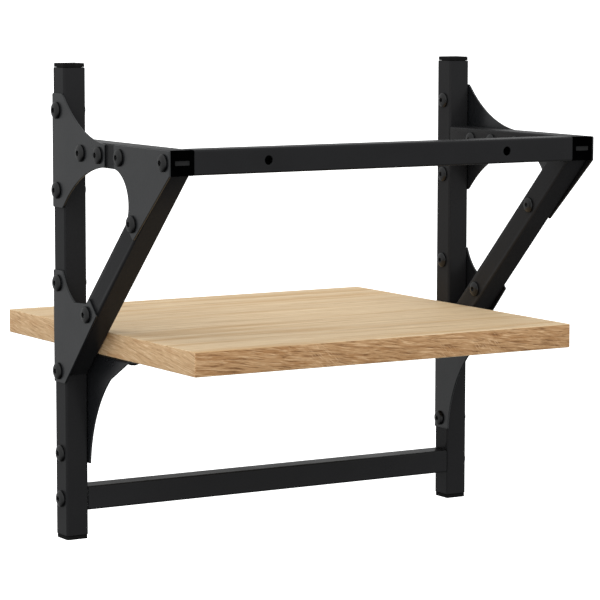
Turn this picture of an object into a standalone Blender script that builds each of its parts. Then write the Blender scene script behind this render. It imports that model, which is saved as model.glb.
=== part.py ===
"""Wall shelf: a board, a wall bar and a towel bar between two bolted steel brackets.

The wall is the plane Y = 0 and the shelf stands out from it towards -Y, with +Z up. The origin is
the middle of the wall bar's wall face. Side outlines are drawn as (out, up): the distance from the
wall and the height, both in metres.
"""

import bmesh
import bpy
from math import cos, hypot, pi, radians, sin
from mathutils import Matrix, Vector

# Driving dimensions, in metres.
FRAME_WIDTH = 0.300  # over the outer faces of the two posts
TUBE = 0.015  # side of every square tube
TUBE_WALL = 0.001
TUBE_CORNER = 0.0013
PLATE = 0.0012  # thickness of the gusset plates and shelf brackets
BOARD_DEPTH = 0.250
BOARD_THICKNESS = 0.015
BOARD_TOP = -0.110
BOARD_EDGE = 0.0004  # bevel along the board's edges
POST_OUT = 0.137  # wall-side face of the posts
POST_TOP = 0.0535  # over the cap
POST_BOTTOM = -0.243  # under the cap
TOWEL_BAR_UP = -0.2175  # middle of the towel bar
BRACE_SUM = 0.008  # out + up along the middle of the brace, which falls at 45 degrees
POST_STRIP_SETBACK = 0.0006  # from the posts' wall-side face to the gussets' strips on them
PLATE_BACK_SETBACK = 0.0016  # from the posts' room-side face to the plates
WALL_HOLE_SPACING = 0.170
WALL_HOLE = 0.0055
FIT_GAP = 0.0002  # between faces that touch
SIDE_GAP = 0.0003  # between the board and the posts

# Fasteners.
BOLT_HEAD = 0.0105
BOLT_HEAD_HEIGHT = 0.0024
NUT_HEAD = 0.0096
NUT_HEAD_HEIGHT = 0.0021
BOLT_SHANK = 0.005
BOLT_HOLE = 0.0058
SCREW_HEAD = 0.008
SCREW_HEAD_HEIGHT = 0.0022
SCREW_SHANK = 0.0035
SCREW_LENGTH = 0.0115
SCREW_HOLE = 0.0042
BOLT_REACH = 0.012  # how far a bar bolt runs into the bar's threaded insert

# Plastic end pieces.
CAP_FLANGE = 0.0025
CAP_SIDE = 0.0138
CAP_PLUG = 0.0124
CAP_PLUG_LENGTH = 0.009
CAP_PLUG_WALL = 0.0017
CAP_PLUG_ROOT = 0.001  # solid length of the plug next to the flange
CAP_CHAMFER = 0.0005
PLUG_FLANGE = 0.002
PLUG_FIN = 0.0021
PLUG_FIN_LENGTH = 0.010
PLUG_SLOT_WIDTH = 0.010
PLUG_SLOT_HEIGHT = 0.003
PLUG_SLOT_DEPTH = 0.0008
INSERT_LENGTH = 0.014

# Shelf bracket flange, the part bent in under the board.
FLANGE_WIDTH = 0.0145
FLANGE_FRONT = 0.0845
BOARD_SCREWS_OUT = (0.0905, 0.131)
BOARD_SCREW_IN = 0.0075  # from the posts' inner faces

# Construction.
WELD_DISTANCE = 0.00001  # points closer than this are one point
ACROSS_REACH = 3 * TUBE  # length of a drill through one bracket
BRACE_SPARE = 4 * TUBE  # extra length of the brace before its ends are cut
BRACE_CUT = 6 * TUBE  # side of the blocks that cut the brace's ends

HALF_TUBE = TUBE / 2
HALF_WIDTH = FRAME_WIDTH / 2
TUBE_MIDDLE = HALF_WIDTH - HALF_TUBE
POST_FACE_IN = HALF_WIDTH - TUBE
POST_MIDDLE_OUT = POST_OUT + HALF_TUBE
POST_STRIP_OUT = POST_OUT + POST_STRIP_SETBACK
PLATE_BACK = POST_OUT + TUBE - PLATE_BACK_SETBACK
PLATE_OUTER = HALF_WIDTH + FIT_GAP + PLATE
BRACKET_INNER = POST_FACE_IN - FIT_GAP - PLATE
BOARD_BOTTOM = BOARD_TOP - BOARD_THICKNESS

# Bolt centres as (out, up).
UPPER_POST_BOLTS = ((POST_MIDDLE_OUT, 0.0246), (POST_MIDDLE_OUT, -0.0246))
UPPER_ARM_BOLTS = ((0.112, 0.0), (0.089, 0.0))
ARM_BOLT = (0.062, 0.0)
WALL_BAR_BOLT = (HALF_TUBE, 0.0)
UPPER_BRACE_BOLT = (0.0463, BRACE_SUM - 0.0463)
LOWER_BRACE_BOLT = (0.106, BRACE_SUM - 0.106)
MIDDLE_POST_BOLT = (POST_MIDDLE_OUT, -0.0821)
SHARED_POST_BOLT = (POST_MIDDLE_OUT, -0.137)
BRACKET_POST_BOLT = (POST_MIDDLE_OUT, -0.1888)
TOWEL_BAR_BOLT = (POST_MIDDLE_OUT, TOWEL_BAR_UP)

# Columns: local X, Y and Z of a side outline. X runs out from the wall, Y up and Z to the left.
SIDE_TURN = Matrix(((0, 0, -1, 0), (-1, 0, 0, 0), (0, 1, 0, 0), (0, 0, 0, 1)))
ALONG_X = Matrix.Rotation(pi / 2, 4, "Y")
ALONG_Y = Matrix.Rotation(pi / 2, 4, "X")
SIDES = {"left": -1, "right": 1}


def clear_scene():
    for item in list(bpy.data.objects):
        bpy.data.objects.remove(item, do_unlink=True)


def collection(name):
    made = bpy.data.collections.new(name)
    bpy.context.scene.collection.children.link(made)
    return made


def finish(name, color, roughness, metallic):
    material = bpy.data.materials.new(name)
    material.use_nodes = True
    shader = material.node_tree.nodes["Principled BSDF"]
    shader.inputs["Base Color"].default_value = (*color, 1.0)
    shader.inputs["Roughness"].default_value = roughness
    shader.inputs["Metallic"].default_value = metallic
    return material


clear_scene()
PIECES = collection("wall_shelf_with_brackets")
CUTTERS = collection("cutters")
STEEL = finish("black_powder_coat", (0.018, 0.018, 0.019), 0.55, 0.0)
FASTENER = finish("black_fastener", (0.012, 0.012, 0.013), 0.4, 0.0)
PLASTIC = finish("black_plastic", (0.006, 0.006, 0.006), 0.5, 0.0)
OAK = finish("oak_board", (0.56, 0.39, 0.23), 0.6, 0.0)
ZINC = finish("zinc_insert", (0.45, 0.45, 0.46), 0.35, 1.0)


def add_object(name, mesh, place, material):
    piece = bpy.data.objects.new(name, mesh)
    piece.matrix_world = place
    if material is not None:
        mesh.materials.clear()
        mesh.materials.append(material)
    (PIECES if material is not None else CUTTERS).objects.link(piece)
    if material is None:
        piece.hide_render = True
        piece.display_type = "WIRE"
    return piece


def arc(centre, radius, first, last, segments):
    """Points on a circle from the first to the last angle, in degrees."""
    angles = [radians(first + (last - first) * step / segments) for step in range(segments + 1)]
    return [(centre[0] + radius * cos(a), centre[1] + radius * sin(a)) for a in angles]


def rounded_square(side, corner, segments=3):
    inner = side / 2 - corner
    points = []
    for quarter, (across, up) in enumerate(((1, 1), (-1, 1), (-1, -1), (1, -1))):
        points += arc((across * inner, up * inner), corner, 90 * quarter, 90 * quarter + 90, segments)
    return points


def flat_solid(name, outlines, thickness, place, material):
    """A filled 2D curve given thickness, as a mesh. A second outline inside the first is a hole."""
    curve = bpy.data.curves.new(name, "CURVE")
    curve.dimensions = "2D"
    curve.fill_mode = "BOTH"
    curve.extrude = thickness / 2
    for outline in outlines:
        spline = curve.splines.new("POLY")
        spline.points.add(len(outline) - 1)
        for point, (across, up) in zip(spline.points, outline):
            point.co = (across, up, 0, 1)
        spline.use_cyclic_u = True
    drawing = bpy.data.objects.new(name + "_outline", curve)
    bpy.context.scene.collection.objects.link(drawing)
    evaluated = drawing.evaluated_get(bpy.context.evaluated_depsgraph_get())
    mesh = bpy.data.meshes.new_from_object(evaluated)
    bpy.data.objects.remove(drawing, do_unlink=True)
    shape = bmesh.new()
    shape.from_mesh(mesh)
    bmesh.ops.remove_doubles(shape, verts=shape.verts, dist=WELD_DISTANCE)
    bmesh.ops.recalc_face_normals(shape, faces=shape.faces)
    shape.to_mesh(mesh)
    shape.free()
    return add_object(name, mesh, place, material)


def block(name, size, middle, material=None):
    """A box of a given size about a given middle, its scale already in the mesh."""
    mesh = bpy.data.meshes.new(name)
    shape = bmesh.new()
    bmesh.ops.create_cube(shape, size=1.0)
    bmesh.ops.scale(shape, vec=Vector(size), verts=shape.verts)
    shape.to_mesh(mesh)
    shape.free()
    return add_object(name, mesh, Matrix.Translation(middle), material)


def drills(name, places, diameter, length, segments=12):
    """One cutter that holds a cylinder for each place, a matrix whose Z is the drill's axis."""
    mesh = bpy.data.meshes.new(name)
    shape = bmesh.new()
    for place in places:
        bmesh.ops.create_cone(
            shape, cap_ends=True, segments=segments, radius1=diameter / 2, radius2=diameter / 2,
            depth=length, matrix=place,
        )
    shape.to_mesh(mesh)
    shape.free()
    return add_object(name, mesh, Matrix(), None)


def combine(piece, cutter, operation="DIFFERENCE"):
    step = piece.modifiers.new(f"{operation.lower()}_{cutter.name}", "BOOLEAN")
    step.operation = operation
    step.object = cutter
    step.solver = "EXACT"


def turned(name, profile, place, material, steps=12):
    """A profile of (radius, height) from the top down, spun once about its own Z axis."""
    mesh = bpy.data.meshes.new(name)
    mesh.from_pydata(
        [(radius, 0, height) for radius, height in profile],
        [(i, i + 1) for i in range(len(profile) - 1)],
        [],
    )
    piece = add_object(name, mesh, place, material)
    spin = piece.modifiers.new("spin", "SCREW")
    spin.axis = "Z"
    spin.angle = 2 * pi
    spin.steps = steps
    spin.render_steps = steps
    spin.use_merge_vertices = True
    spin.merge_threshold = WELD_DISTANCE
    spin.use_smooth_shade = True
    return piece


def dome(diameter, height, segments=3):
    """A low dome from its crown to its rim: (radius, height above the rim's plane)."""
    rim = 0.25 * height
    crown = height - rim
    points = [
        (diameter / 2 * sin(a), rim + crown * cos(a))
        for a in (pi / 2 * step / segments for step in range(segments + 1))
    ]
    return points + [(diameter / 2, 0.0)]


def side_point(out, up, across=0.0):
    return Vector((across, -out, up))


def across_drills(name, points, side):
    """Drills along X through one bracket, at side points."""
    places = [Matrix.Translation(side_point(*point, side * TUBE_MIDDLE)) @ ALONG_X for point in points]
    return drills(name, places, BOLT_HOLE, ACROSS_REACH)


def tube(name, length, place):
    outer = rounded_square(TUBE, TUBE_CORNER)
    inner = rounded_square(TUBE - 2 * TUBE_WALL, TUBE_CORNER - TUBE_WALL, segments=1)
    return flat_solid(name, [outer, inner], length, place, STEEL)


def side_plate(name, outline, middle_x):
    return flat_solid(name, [outline], PLATE, Matrix.Translation((middle_x, 0, 0)) @ SIDE_TURN, STEEL)


# --- Board ---------------------------------------------------------------------------------------


def make_board():
    width = 2 * (POST_FACE_IN - SIDE_GAP)
    middle = (0, -BOARD_DEPTH / 2, BOARD_TOP - BOARD_THICKNESS / 2)
    board = block("shelf_board", (width, BOARD_DEPTH, BOARD_THICKNESS), middle, OAK)
    edge = board.modifiers.new("edges", "BEVEL")
    edge.width = BOARD_EDGE
    edge.segments = 1
    places = [
        Matrix.Translation(side_point(out, BOARD_BOTTOM, side * (POST_FACE_IN - BOARD_SCREW_IN)))
        for side in SIDES.values()
        for out in BOARD_SCREWS_OUT
    ]
    combine(board, drills("board_pilot_drills", places, SCREW_HOLE, 2 * SCREW_LENGTH, segments=8))


# --- Tubes ---------------------------------------------------------------------------------------


def make_post(word, side):
    top = POST_TOP - CAP_FLANGE - FIT_GAP
    bottom = POST_BOTTOM + CAP_FLANGE + FIT_GAP
    place = Matrix.Translation(side_point(POST_MIDDLE_OUT, (top + bottom) / 2, side * TUBE_MIDDLE))
    post = tube(f"post_{word}", top - bottom, place)
    points = (*UPPER_POST_BOLTS, MIDDLE_POST_BOLT, SHARED_POST_BOLT, BRACKET_POST_BOLT, TOWEL_BAR_BOLT)
    combine(post, across_drills(f"post_drills_{word}", points, side))


def make_arm(word, side):
    near, far = PLUG_FLANGE + FIT_GAP, POST_OUT - FIT_GAP
    place = Matrix.Translation(side_point((near + far) / 2, 0, side * TUBE_MIDDLE)) @ ALONG_Y
    arm = tube(f"arm_{word}", far - near, place)
    combine(arm, across_drills(f"arm_drills_{word}", (*UPPER_ARM_BOLTS, ARM_BOLT, WALL_BAR_BOLT), side))


def make_brace(word, side):
    """A tube at 45 degrees, cut level under the arm and upright against the post."""
    far = POST_OUT - FIT_GAP
    top = -HALF_TUBE - FIT_GAP
    foot = BRACE_SUM - far
    head_out = BRACE_SUM - top
    length = hypot(far - head_out, top - foot) + BRACE_SPARE
    middle = side_point((far + head_out) / 2, (top + foot) / 2, side * TUBE_MIDDLE)
    brace = tube(f"brace_{word}", length, Matrix.Translation(middle) @ Matrix.Rotation(-pi / 4, 4, "X"))
    size = (BRACE_CUT, BRACE_CUT, BRACE_CUT)
    above = side_point(head_out, top + BRACE_CUT / 2, side * TUBE_MIDDLE)
    beyond = side_point(far + BRACE_CUT / 2, foot, side * TUBE_MIDDLE)
    combine(brace, block(f"brace_top_cut_{word}", size, above))
    combine(brace, block(f"brace_foot_cut_{word}", size, beyond))
    combine(brace, across_drills(f"brace_drills_{word}", (UPPER_BRACE_BOLT, LOWER_BRACE_BOLT), side))


def make_bar(name, out, up):
    """A tube between the two brackets."""
    length = 2 * (POST_FACE_IN - FIT_GAP)
    return tube(name, length, Matrix.Translation(side_point(out, up)) @ ALONG_X)


def make_wall_bar():
    bar = make_bar("wall_bar", HALF_TUBE, 0)
    places = [
        Matrix.Translation(side_point(HALF_TUBE, 0, side * WALL_HOLE_SPACING / 2)) @ ALONG_Y
        for side in SIDES.values()
    ]
    combine(bar, drills("wall_bar_drills", places, WALL_HOLE, 2 * TUBE, segments=24))


# --- Plates --------------------------------------------------------------------------------------


def upper_gusset_outline():
    """A strip on the post and a strip on the arm, joined by two concave arcs."""
    half_height, strip, end = 0.035, 0.007, 0.081
    upper = arc((0.0762, 0.0865), 0.0797, -40.2, -86.5, 10)
    lower = [(out, -up) for out, up in reversed(upper)]
    return (
        [(PLATE_BACK, half_height), (POST_STRIP_OUT, half_height)]
        + upper
        + [(end, strip), (end, -strip)]
        + lower
        + [(POST_STRIP_OUT, -half_height), (PLATE_BACK, -half_height)]
    )


def wall_plate_outline():
    """A strip on the arm and a strip on the brace, joined by one concave arc."""
    near, far, top = 0.0003, 0.069, 0.0073
    window = arc((0.0718, -0.0279), 0.0211, 98, 206, 12)
    brace_end = [(0.0544, -0.0390), (0.0452, -0.0481)]
    return [(near, top), (far, top)] + window + brace_end + [(near, -0.0076)]


def lower_gusset_outline():
    """A strip on the post and a strip on the foot of the brace."""
    top, bottom = -0.074, -0.1439
    window = arc((0.1075, -0.0631), 0.0325, -19.6, -63, 8)
    brace_end = [(0.1065, -0.0913), (0.10295, -0.08755), (0.0931, -0.0975)]
    return [(PLATE_BACK, top)] + window + brace_end + [(0.1361, bottom), (PLATE_BACK, bottom)]


def shelf_bracket_outline():
    """A strip down the post that widens in a concave arc to meet the board."""
    top, bottom = BOARD_BOTTOM - FIT_GAP, -0.1953
    flange_end = BOARD_BOTTOM - 0.0018
    under_arc = arc((0.0525, -0.2015), 0.083, 5.0, 48.5, 8)
    return (
        [(PLATE_BACK, top), (PLATE_BACK, bottom), (under_arc[0][0], bottom)]
        + under_arc
        + [(FLANGE_FRONT, flange_end), (FLANGE_FRONT, top)]
    )


def make_outer_plate(name, outline, points, word, side):
    plate = side_plate(f"{name}_{word}", outline, side * (PLATE_OUTER - PLATE / 2))
    combine(plate, across_drills(f"{name}_drills_{word}", points, side))


def make_shelf_bracket(word, side):
    name = f"shelf_bracket_{word}"
    bracket = side_plate(name, shelf_bracket_outline(), side * (BRACKET_INNER + PLATE / 2))
    top = BOARD_BOTTOM - FIT_GAP
    size = (FLANGE_WIDTH, PLATE_BACK - FLANGE_FRONT, PLATE)
    middle = side_point(
        (PLATE_BACK + FLANGE_FRONT) / 2, top - PLATE / 2, side * (POST_FACE_IN - FIT_GAP - FLANGE_WIDTH / 2)
    )
    combine(bracket, block(f"shelf_bracket_flange_{word}", size, middle), "UNION")
    post_bolts = (SHARED_POST_BOLT, BRACKET_POST_BOLT)
    combine(bracket, across_drills(f"shelf_bracket_drills_{word}", post_bolts, side))
    places = [
        Matrix.Translation(side_point(out, top, side * (POST_FACE_IN - BOARD_SCREW_IN)))
        for out in BOARD_SCREWS_OUT
    ]
    screw_drills = drills(f"shelf_bracket_screw_drills_{word}", places, SCREW_HOLE, 4 * PLATE, segments=8)
    combine(bracket, screw_drills)


# --- Plastic pieces and inserts ------------------------------------------------------------------


def make_post_cap(end, word, side):
    """A flange with a hollow plug that sits in the tube's end."""
    direction = 1 if end == "top" else -1
    face = POST_TOP if end == "top" else POST_BOTTOM
    middle = side_point(POST_MIDDLE_OUT, face - direction * CAP_FLANGE / 2, side * TUBE_MIDDLE)
    cap = block(f"post_cap_{end}_{word}", (CAP_SIDE, CAP_SIDE, CAP_FLANGE), middle, PLASTIC)
    edge = cap.modifiers.new("edges", "BEVEL")
    edge.width = CAP_CHAMFER
    edge.segments = 1
    inside = CAP_PLUG_LENGTH + CAP_FLANGE / 2
    plug_middle = middle - Vector((0, 0, direction * inside / 2))
    plug = block(f"cap_plug_{end}_{word}", (CAP_PLUG, CAP_PLUG, inside), plug_middle)
    combine(cap, plug, "UNION")
    pocket_side = CAP_PLUG - 2 * CAP_PLUG_WALL
    pocket_inside = CAP_FLANGE / 2 + CAP_PLUG_ROOT + CAP_PLUG_LENGTH / 2
    pocket_middle = middle - Vector((0, 0, direction * pocket_inside))
    pocket = block(f"cap_pocket_{end}_{word}", (pocket_side, pocket_side, CAP_PLUG_LENGTH), pocket_middle)
    combine(cap, pocket)


def make_arm_plug(word, side):
    """A flange over the arm's wall end, with two fins inside the tube and a slot in its face."""
    across = side * TUBE_MIDDLE
    plug = block(
        f"arm_plug_{word}", (TUBE, PLUG_FLANGE, TUBE), side_point(PLUG_FLANGE / 2, 0, across), PLASTIC
    )
    fin_up = CAP_PLUG / 2 - PLUG_FIN / 2
    for level, up in (("top", fin_up), ("bottom", -fin_up)):
        length = PLUG_FIN_LENGTH + PLUG_FLANGE / 2
        middle = side_point(PLUG_FLANGE / 2 + length / 2, up, across)
        combine(plug, block(f"arm_plug_fin_{level}_{word}", (CAP_PLUG, length, PLUG_FIN), middle), "UNION")
    slot = (PLUG_SLOT_WIDTH, 2 * PLUG_SLOT_DEPTH, PLUG_SLOT_HEIGHT)
    combine(plug, block(f"arm_plug_slot_{word}", slot, side_point(0, 0, across)))


def make_bar_insert(name, out, up, side):
    """A threaded block in the end of a bar, which takes the bolt through the bracket."""
    across = side * (POST_FACE_IN - FIT_GAP - INSERT_LENGTH / 2)
    middle = side_point(out, up, across)
    insert = block(name, (INSERT_LENGTH, CAP_PLUG, CAP_PLUG), middle, ZINC)
    hole = drills(f"{name}_drill", [Matrix.Translation(middle) @ ALONG_X], BOLT_HOLE, 2 * INSERT_LENGTH)
    combine(insert, hole)


# --- Fasteners -----------------------------------------------------------------------------------


def make_bolt(name, point, seat, end, side):
    """A domed bolt. Seat is where its head sits and end is where its domed nut sits, along X."""
    grip = seat - end
    head = dome(BOLT_HEAD, BOLT_HEAD_HEIGHT)
    nut = [(radius, -grip - height) for radius, height in reversed(dome(NUT_HEAD, NUT_HEAD_HEIGHT))]
    profile = head + [(BOLT_SHANK / 2, 0.0), (BOLT_SHANK / 2, -grip)] + nut
    place = Matrix.Translation(side_point(*point, side * seat)) @ Matrix.Rotation(side * pi / 2, 4, "Y")
    turned(name, profile, place, FASTENER)


def make_bar_bolt(name, point, seat, side):
    """A domed bolt that ends in the threaded insert of a bar."""
    grip = seat - POST_FACE_IN + BOLT_REACH
    profile = dome(BOLT_HEAD, BOLT_HEAD_HEIGHT) + [(BOLT_SHANK / 2, 0.0), (BOLT_SHANK / 2, -grip), (0, -grip)]
    place = Matrix.Translation(side_point(*point, side * seat)) @ Matrix.Rotation(side * pi / 2, 4, "Y")
    turned(name, profile, place, FASTENER)


def make_board_screw(name, out, side):
    """A domed screw that comes up through the flange into the board."""
    seat = BOARD_BOTTOM - 2 * FIT_GAP - PLATE
    head = dome(SCREW_HEAD, SCREW_HEAD_HEIGHT)
    profile = head + [(SCREW_SHANK / 2, 0.0), (SCREW_SHANK / 2, -SCREW_LENGTH), (0, -SCREW_LENGTH)]
    middle = side_point(out, seat, side * (POST_FACE_IN - BOARD_SCREW_IN))
    turned(name, profile, Matrix.Translation(middle) @ Matrix.Rotation(pi, 4, "X"), FASTENER, steps=10)


def make_fasteners(word, side):
    on_plate = PLATE_OUTER + FIT_GAP
    on_tube = HALF_WIDTH + FIT_GAP
    inside_tube = POST_FACE_IN - FIT_GAP
    inside_bracket = BRACKET_INNER - FIT_GAP
    through_bolts = {
        "upper_gusset_bolt_top": (UPPER_POST_BOLTS[0], on_plate, inside_tube),
        "upper_gusset_bolt_bottom": (UPPER_POST_BOLTS[1], on_plate, inside_tube),
        "upper_gusset_bolt_rear": (UPPER_ARM_BOLTS[0], on_plate, inside_tube),
        "upper_gusset_bolt_front": (UPPER_ARM_BOLTS[1], on_plate, inside_tube),
        "wall_plate_bolt_arm": (ARM_BOLT, on_plate, inside_tube),
        "wall_plate_bolt_brace": (UPPER_BRACE_BOLT, on_plate, inside_tube),
        "lower_gusset_bolt_brace": (LOWER_BRACE_BOLT, on_plate, inside_tube),
        "lower_gusset_bolt_top": (MIDDLE_POST_BOLT, on_plate, inside_tube),
        "lower_gusset_bolt_bottom": (SHARED_POST_BOLT, on_plate, inside_bracket),
        "shelf_bracket_bolt": (BRACKET_POST_BOLT, on_tube, inside_bracket),
    }
    for name, (point, seat, end) in through_bolts.items():
        make_bolt(f"{name}_{word}", point, seat, end, side)
    make_bar_bolt(f"wall_bar_bolt_{word}", WALL_BAR_BOLT, on_plate, side)
    make_bar_bolt(f"towel_bar_bolt_{word}", TOWEL_BAR_BOLT, on_tube, side)
    for place, out in zip(("near", "far"), BOARD_SCREWS_OUT):
        make_board_screw(f"board_screw_{place}_{word}", out, side)


# --- Assembly ------------------------------------------------------------------------------------

UPPER_GUSSET_BOLTS = (*UPPER_POST_BOLTS, *UPPER_ARM_BOLTS)
WALL_PLATE_BOLTS = (ARM_BOLT, WALL_BAR_BOLT, UPPER_BRACE_BOLT)
LOWER_GUSSET_BOLTS = (MIDDLE_POST_BOLT, LOWER_BRACE_BOLT, SHARED_POST_BOLT)

make_board()
make_wall_bar()
make_bar("towel_bar", POST_MIDDLE_OUT, TOWEL_BAR_UP)
for word, side in SIDES.items():
    make_post(word, side)
    make_arm(word, side)
    make_brace(word, side)
    make_outer_plate("upper_gusset", upper_gusset_outline(), UPPER_GUSSET_BOLTS, word, side)
    make_outer_plate("wall_plate", wall_plate_outline(), WALL_PLATE_BOLTS, word, side)
    make_outer_plate("lower_gusset", lower_gusset_outline(), LOWER_GUSSET_BOLTS, word, side)
    make_shelf_bracket(word, side)
    make_post_cap("top", word, side)
    make_post_cap("bottom", word, side)
    make_arm_plug(word, side)
    make_bar_insert(f"wall_bar_insert_{word}", HALF_TUBE, 0, side)
    make_bar_insert(f"towel_bar_insert_{word}", POST_MIDDLE_OUT, TOWEL_BAR_UP, side)
    make_fasteners(word, side)
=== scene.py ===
"""Finished surfaces for a small wall shelf: an oak board between two bolted steel brackets.

The frame gives every piece its place. The wall is the plane Y = 0, the shelf stands out from it
towards -Y and +Z is up. Side drawings use (out, up): the distance from the wall and the height.
All sizes are in metres unless a name says otherwise.
"""

import logging
from dataclasses import dataclass, field
from enum import Enum
from math import cos, pi, radians, sin, sqrt

import bmesh
import bpy
import numpy as np
from mathutils import Matrix, Vector
from mathutils.geometry import tessellate_polygon


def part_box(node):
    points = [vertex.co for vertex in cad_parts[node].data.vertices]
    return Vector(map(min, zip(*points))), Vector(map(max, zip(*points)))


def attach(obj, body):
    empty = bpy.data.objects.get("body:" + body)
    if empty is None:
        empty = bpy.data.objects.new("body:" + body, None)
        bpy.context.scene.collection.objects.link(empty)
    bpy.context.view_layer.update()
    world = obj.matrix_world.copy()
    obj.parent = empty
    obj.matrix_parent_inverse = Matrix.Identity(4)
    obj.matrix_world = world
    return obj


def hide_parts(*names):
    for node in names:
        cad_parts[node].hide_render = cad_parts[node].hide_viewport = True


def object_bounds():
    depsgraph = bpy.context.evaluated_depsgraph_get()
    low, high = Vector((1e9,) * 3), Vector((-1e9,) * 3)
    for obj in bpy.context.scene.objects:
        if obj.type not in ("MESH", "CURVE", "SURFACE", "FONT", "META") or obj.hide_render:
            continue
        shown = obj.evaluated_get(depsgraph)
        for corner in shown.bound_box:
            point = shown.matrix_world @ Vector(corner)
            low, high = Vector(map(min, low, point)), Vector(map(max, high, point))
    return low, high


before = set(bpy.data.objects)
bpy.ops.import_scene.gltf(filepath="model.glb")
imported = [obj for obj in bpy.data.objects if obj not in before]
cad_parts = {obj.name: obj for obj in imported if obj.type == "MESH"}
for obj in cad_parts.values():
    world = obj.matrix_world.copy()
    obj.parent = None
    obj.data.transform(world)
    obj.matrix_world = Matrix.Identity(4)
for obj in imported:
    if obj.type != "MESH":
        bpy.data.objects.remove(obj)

Array = np.ndarray
Colour = tuple[float, float, float]  # red, green and blue from 0 to 255
Stretch = tuple[float, float, float]  # one number for each of X, Y and Z
Station = tuple[float, float, float, float]  # half width, half height, corner radius, place
Row = tuple[float, float, float, float]  # radius, height, shape share, thread depth
Curve = tuple[tuple[float, float], float, float, float]  # centre, radius, first and last angle
CAD_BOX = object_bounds()
BODY = "root"
SIDES = {"left": -1, "right": 1}
MERGE = 2e-6
TINY = 1e-9
SHARP_ANGLE = radians(32)
DOME_RIM = 0.25  # upright rim of a domed head, as a share of its height
DOME_STEPS = 15
DRIVE_LIP = 1.22  # where the dome begins, in half widths of the drive
DRIVE_DENT = 0.0002  # how far the middle of a drive's floor dips
HEAD_EDGE = 0.00012
FILLET_SHARE = 0.45  # the most of a side that one fillet may take
MARGIN_SHARE = 0.4  # the most of a side that one flat margin may take
HOLE_SIDES = 24  # sides of the holes in plates and board
NOISE_LOW = 0.3  # nearly all soft noise lies between these two
NOISE_HIGH = 0.7
LOG = logging.getLogger("wall_shelf")

# Local axes as rows: where the first, second and third local coordinate point.
SIDE_AXES = np.array([[0, -1, 0], [0, 0, 1], [1, 0, 0]], float)
POST_AXES = np.array([[0, 0, 1], [1, 0, 0], [0, 1, 0]], float)
ARM_AXES = np.array([[0, -1, 0], [1, 0, 0], [0, 0, 1]], float)
BRACE_AXES = np.array([[0, -sqrt(0.5), -sqrt(0.5)], [1, 0, 0], [0, -sqrt(0.5), sqrt(0.5)]])
BAR_AXES = np.array([[1, 0, 0], [0, 1, 0], [0, 0, 1]], float)


class Slot(Enum):
    """Material slots, one for each kind of finish."""

    STEEL = "steel"
    FASTENER = "fastener"
    PLASTIC = "plastic"
    BOARD = "board"
    INSERT = "insert"


class OakCut(Enum):
    """Which way the saw met the oak."""

    FACE = "face"
    LONG_EDGE = "long_edge"
    END = "end"


# --- Surfaces ------------------------------------------------------------------------------------


def arc(centre: tuple[float, float], radius: float, first: float, last: float, steps: int) -> Array:
    """Points on a circle: the centre plus the radius times (cos a, sin a), a in even steps.

    Args:
        centre: The circle's centre.
        radius: Its radius.
        first: The first angle, in degrees.
        last: The last angle, in degrees.
        steps: How many equal steps lie between them.

    Returns:
        The points, one a row.
    """
    angle = np.radians(np.linspace(first, last, steps + 1))
    return np.column_stack((centre[0] + radius * np.cos(angle), centre[1] + radius * np.sin(angle)))


def circle(centre: tuple[float, float], radius: float, count: int = 32) -> Array:
    """A clockwise ring of points, so that the material lies on its left.

    Args:
        centre: The ring's centre.
        radius: Its radius.
        count: How many points it has.

    Returns:
        The points, one a row.
    """
    return arc(centre, radius, 0.0, -360.0, count)[:-1]


def turn_counter_clockwise(outline: Array) -> Array:
    """The outline, reversed if its signed area, half the sum of cross products, is negative."""
    ahead = np.roll(outline, -1, axis=0)
    area = np.sum(outline[:, 0] * ahead[:, 1] - outline[:, 1] * ahead[:, 0])
    return outline if area > 0 else outline[::-1]


def filleted(outline: Array, radius: float, steps: int = 5, least_turn: float = 20.0) -> Array:
    """Rounds an outline's sharp corners.

    With a and b the unit vectors from a corner to its neighbours and h half the angle between
    them, the fillet touches the sides at reach = radius / tan h from the corner, and its centre is
    reach / cos h from the corner along a + b. The points between turn evenly about the centre.

    Args:
        outline: The corner points of a closed outline.
        radius: The fillet's radius, made smaller where a side is too short for it.
        steps: How many steps each fillet has.
        least_turn: Corners that turn by fewer degrees than this are left as they are.

    Returns:
        The outline with round corners, counter-clockwise.
    """
    outline = turn_counter_clockwise(outline)
    back, ahead = np.roll(outline, 1, axis=0) - outline, np.roll(outline, -1, axis=0) - outline
    back_length, ahead_length = np.linalg.norm(back, axis=1), np.linalg.norm(ahead, axis=1)
    back, ahead = back / back_length[:, None], ahead / ahead_length[:, None]
    half = np.arccos(np.clip(np.sum(back * ahead, axis=1), -1, 1)) / 2
    sharp = pi - 2 * half > radians(least_turn)
    half = np.where(sharp, half, pi / 4)
    reach = np.minimum(radius / np.tan(half), FILLET_SHARE * np.minimum(back_length, ahead_length))
    bisector = back + ahead
    bisector /= np.maximum(np.linalg.norm(bisector, axis=1), TINY)[:, None]
    centre = outline + bisector * (reach / np.cos(half))[:, None]
    first, last = outline + back * reach[:, None] - centre, outline + ahead * reach[:, None] - centre
    sweep = (pi - 2 * half)[:, None, None]
    share = np.linspace(0, 1, steps + 1)[None, :, None]
    leaving = np.sin((1 - share) * sweep) * first[:, None]
    arriving = np.sin(share * sweep) * last[:, None]
    spoke = (leaving + arriving) / np.sin(sweep)
    points = np.where(sharp[:, None, None], centre[:, None] + spoke, outline[:, None])
    keep = sharp[:, None] | (np.arange(steps + 1) == 0)[None, :]
    return points[keep]


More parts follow.
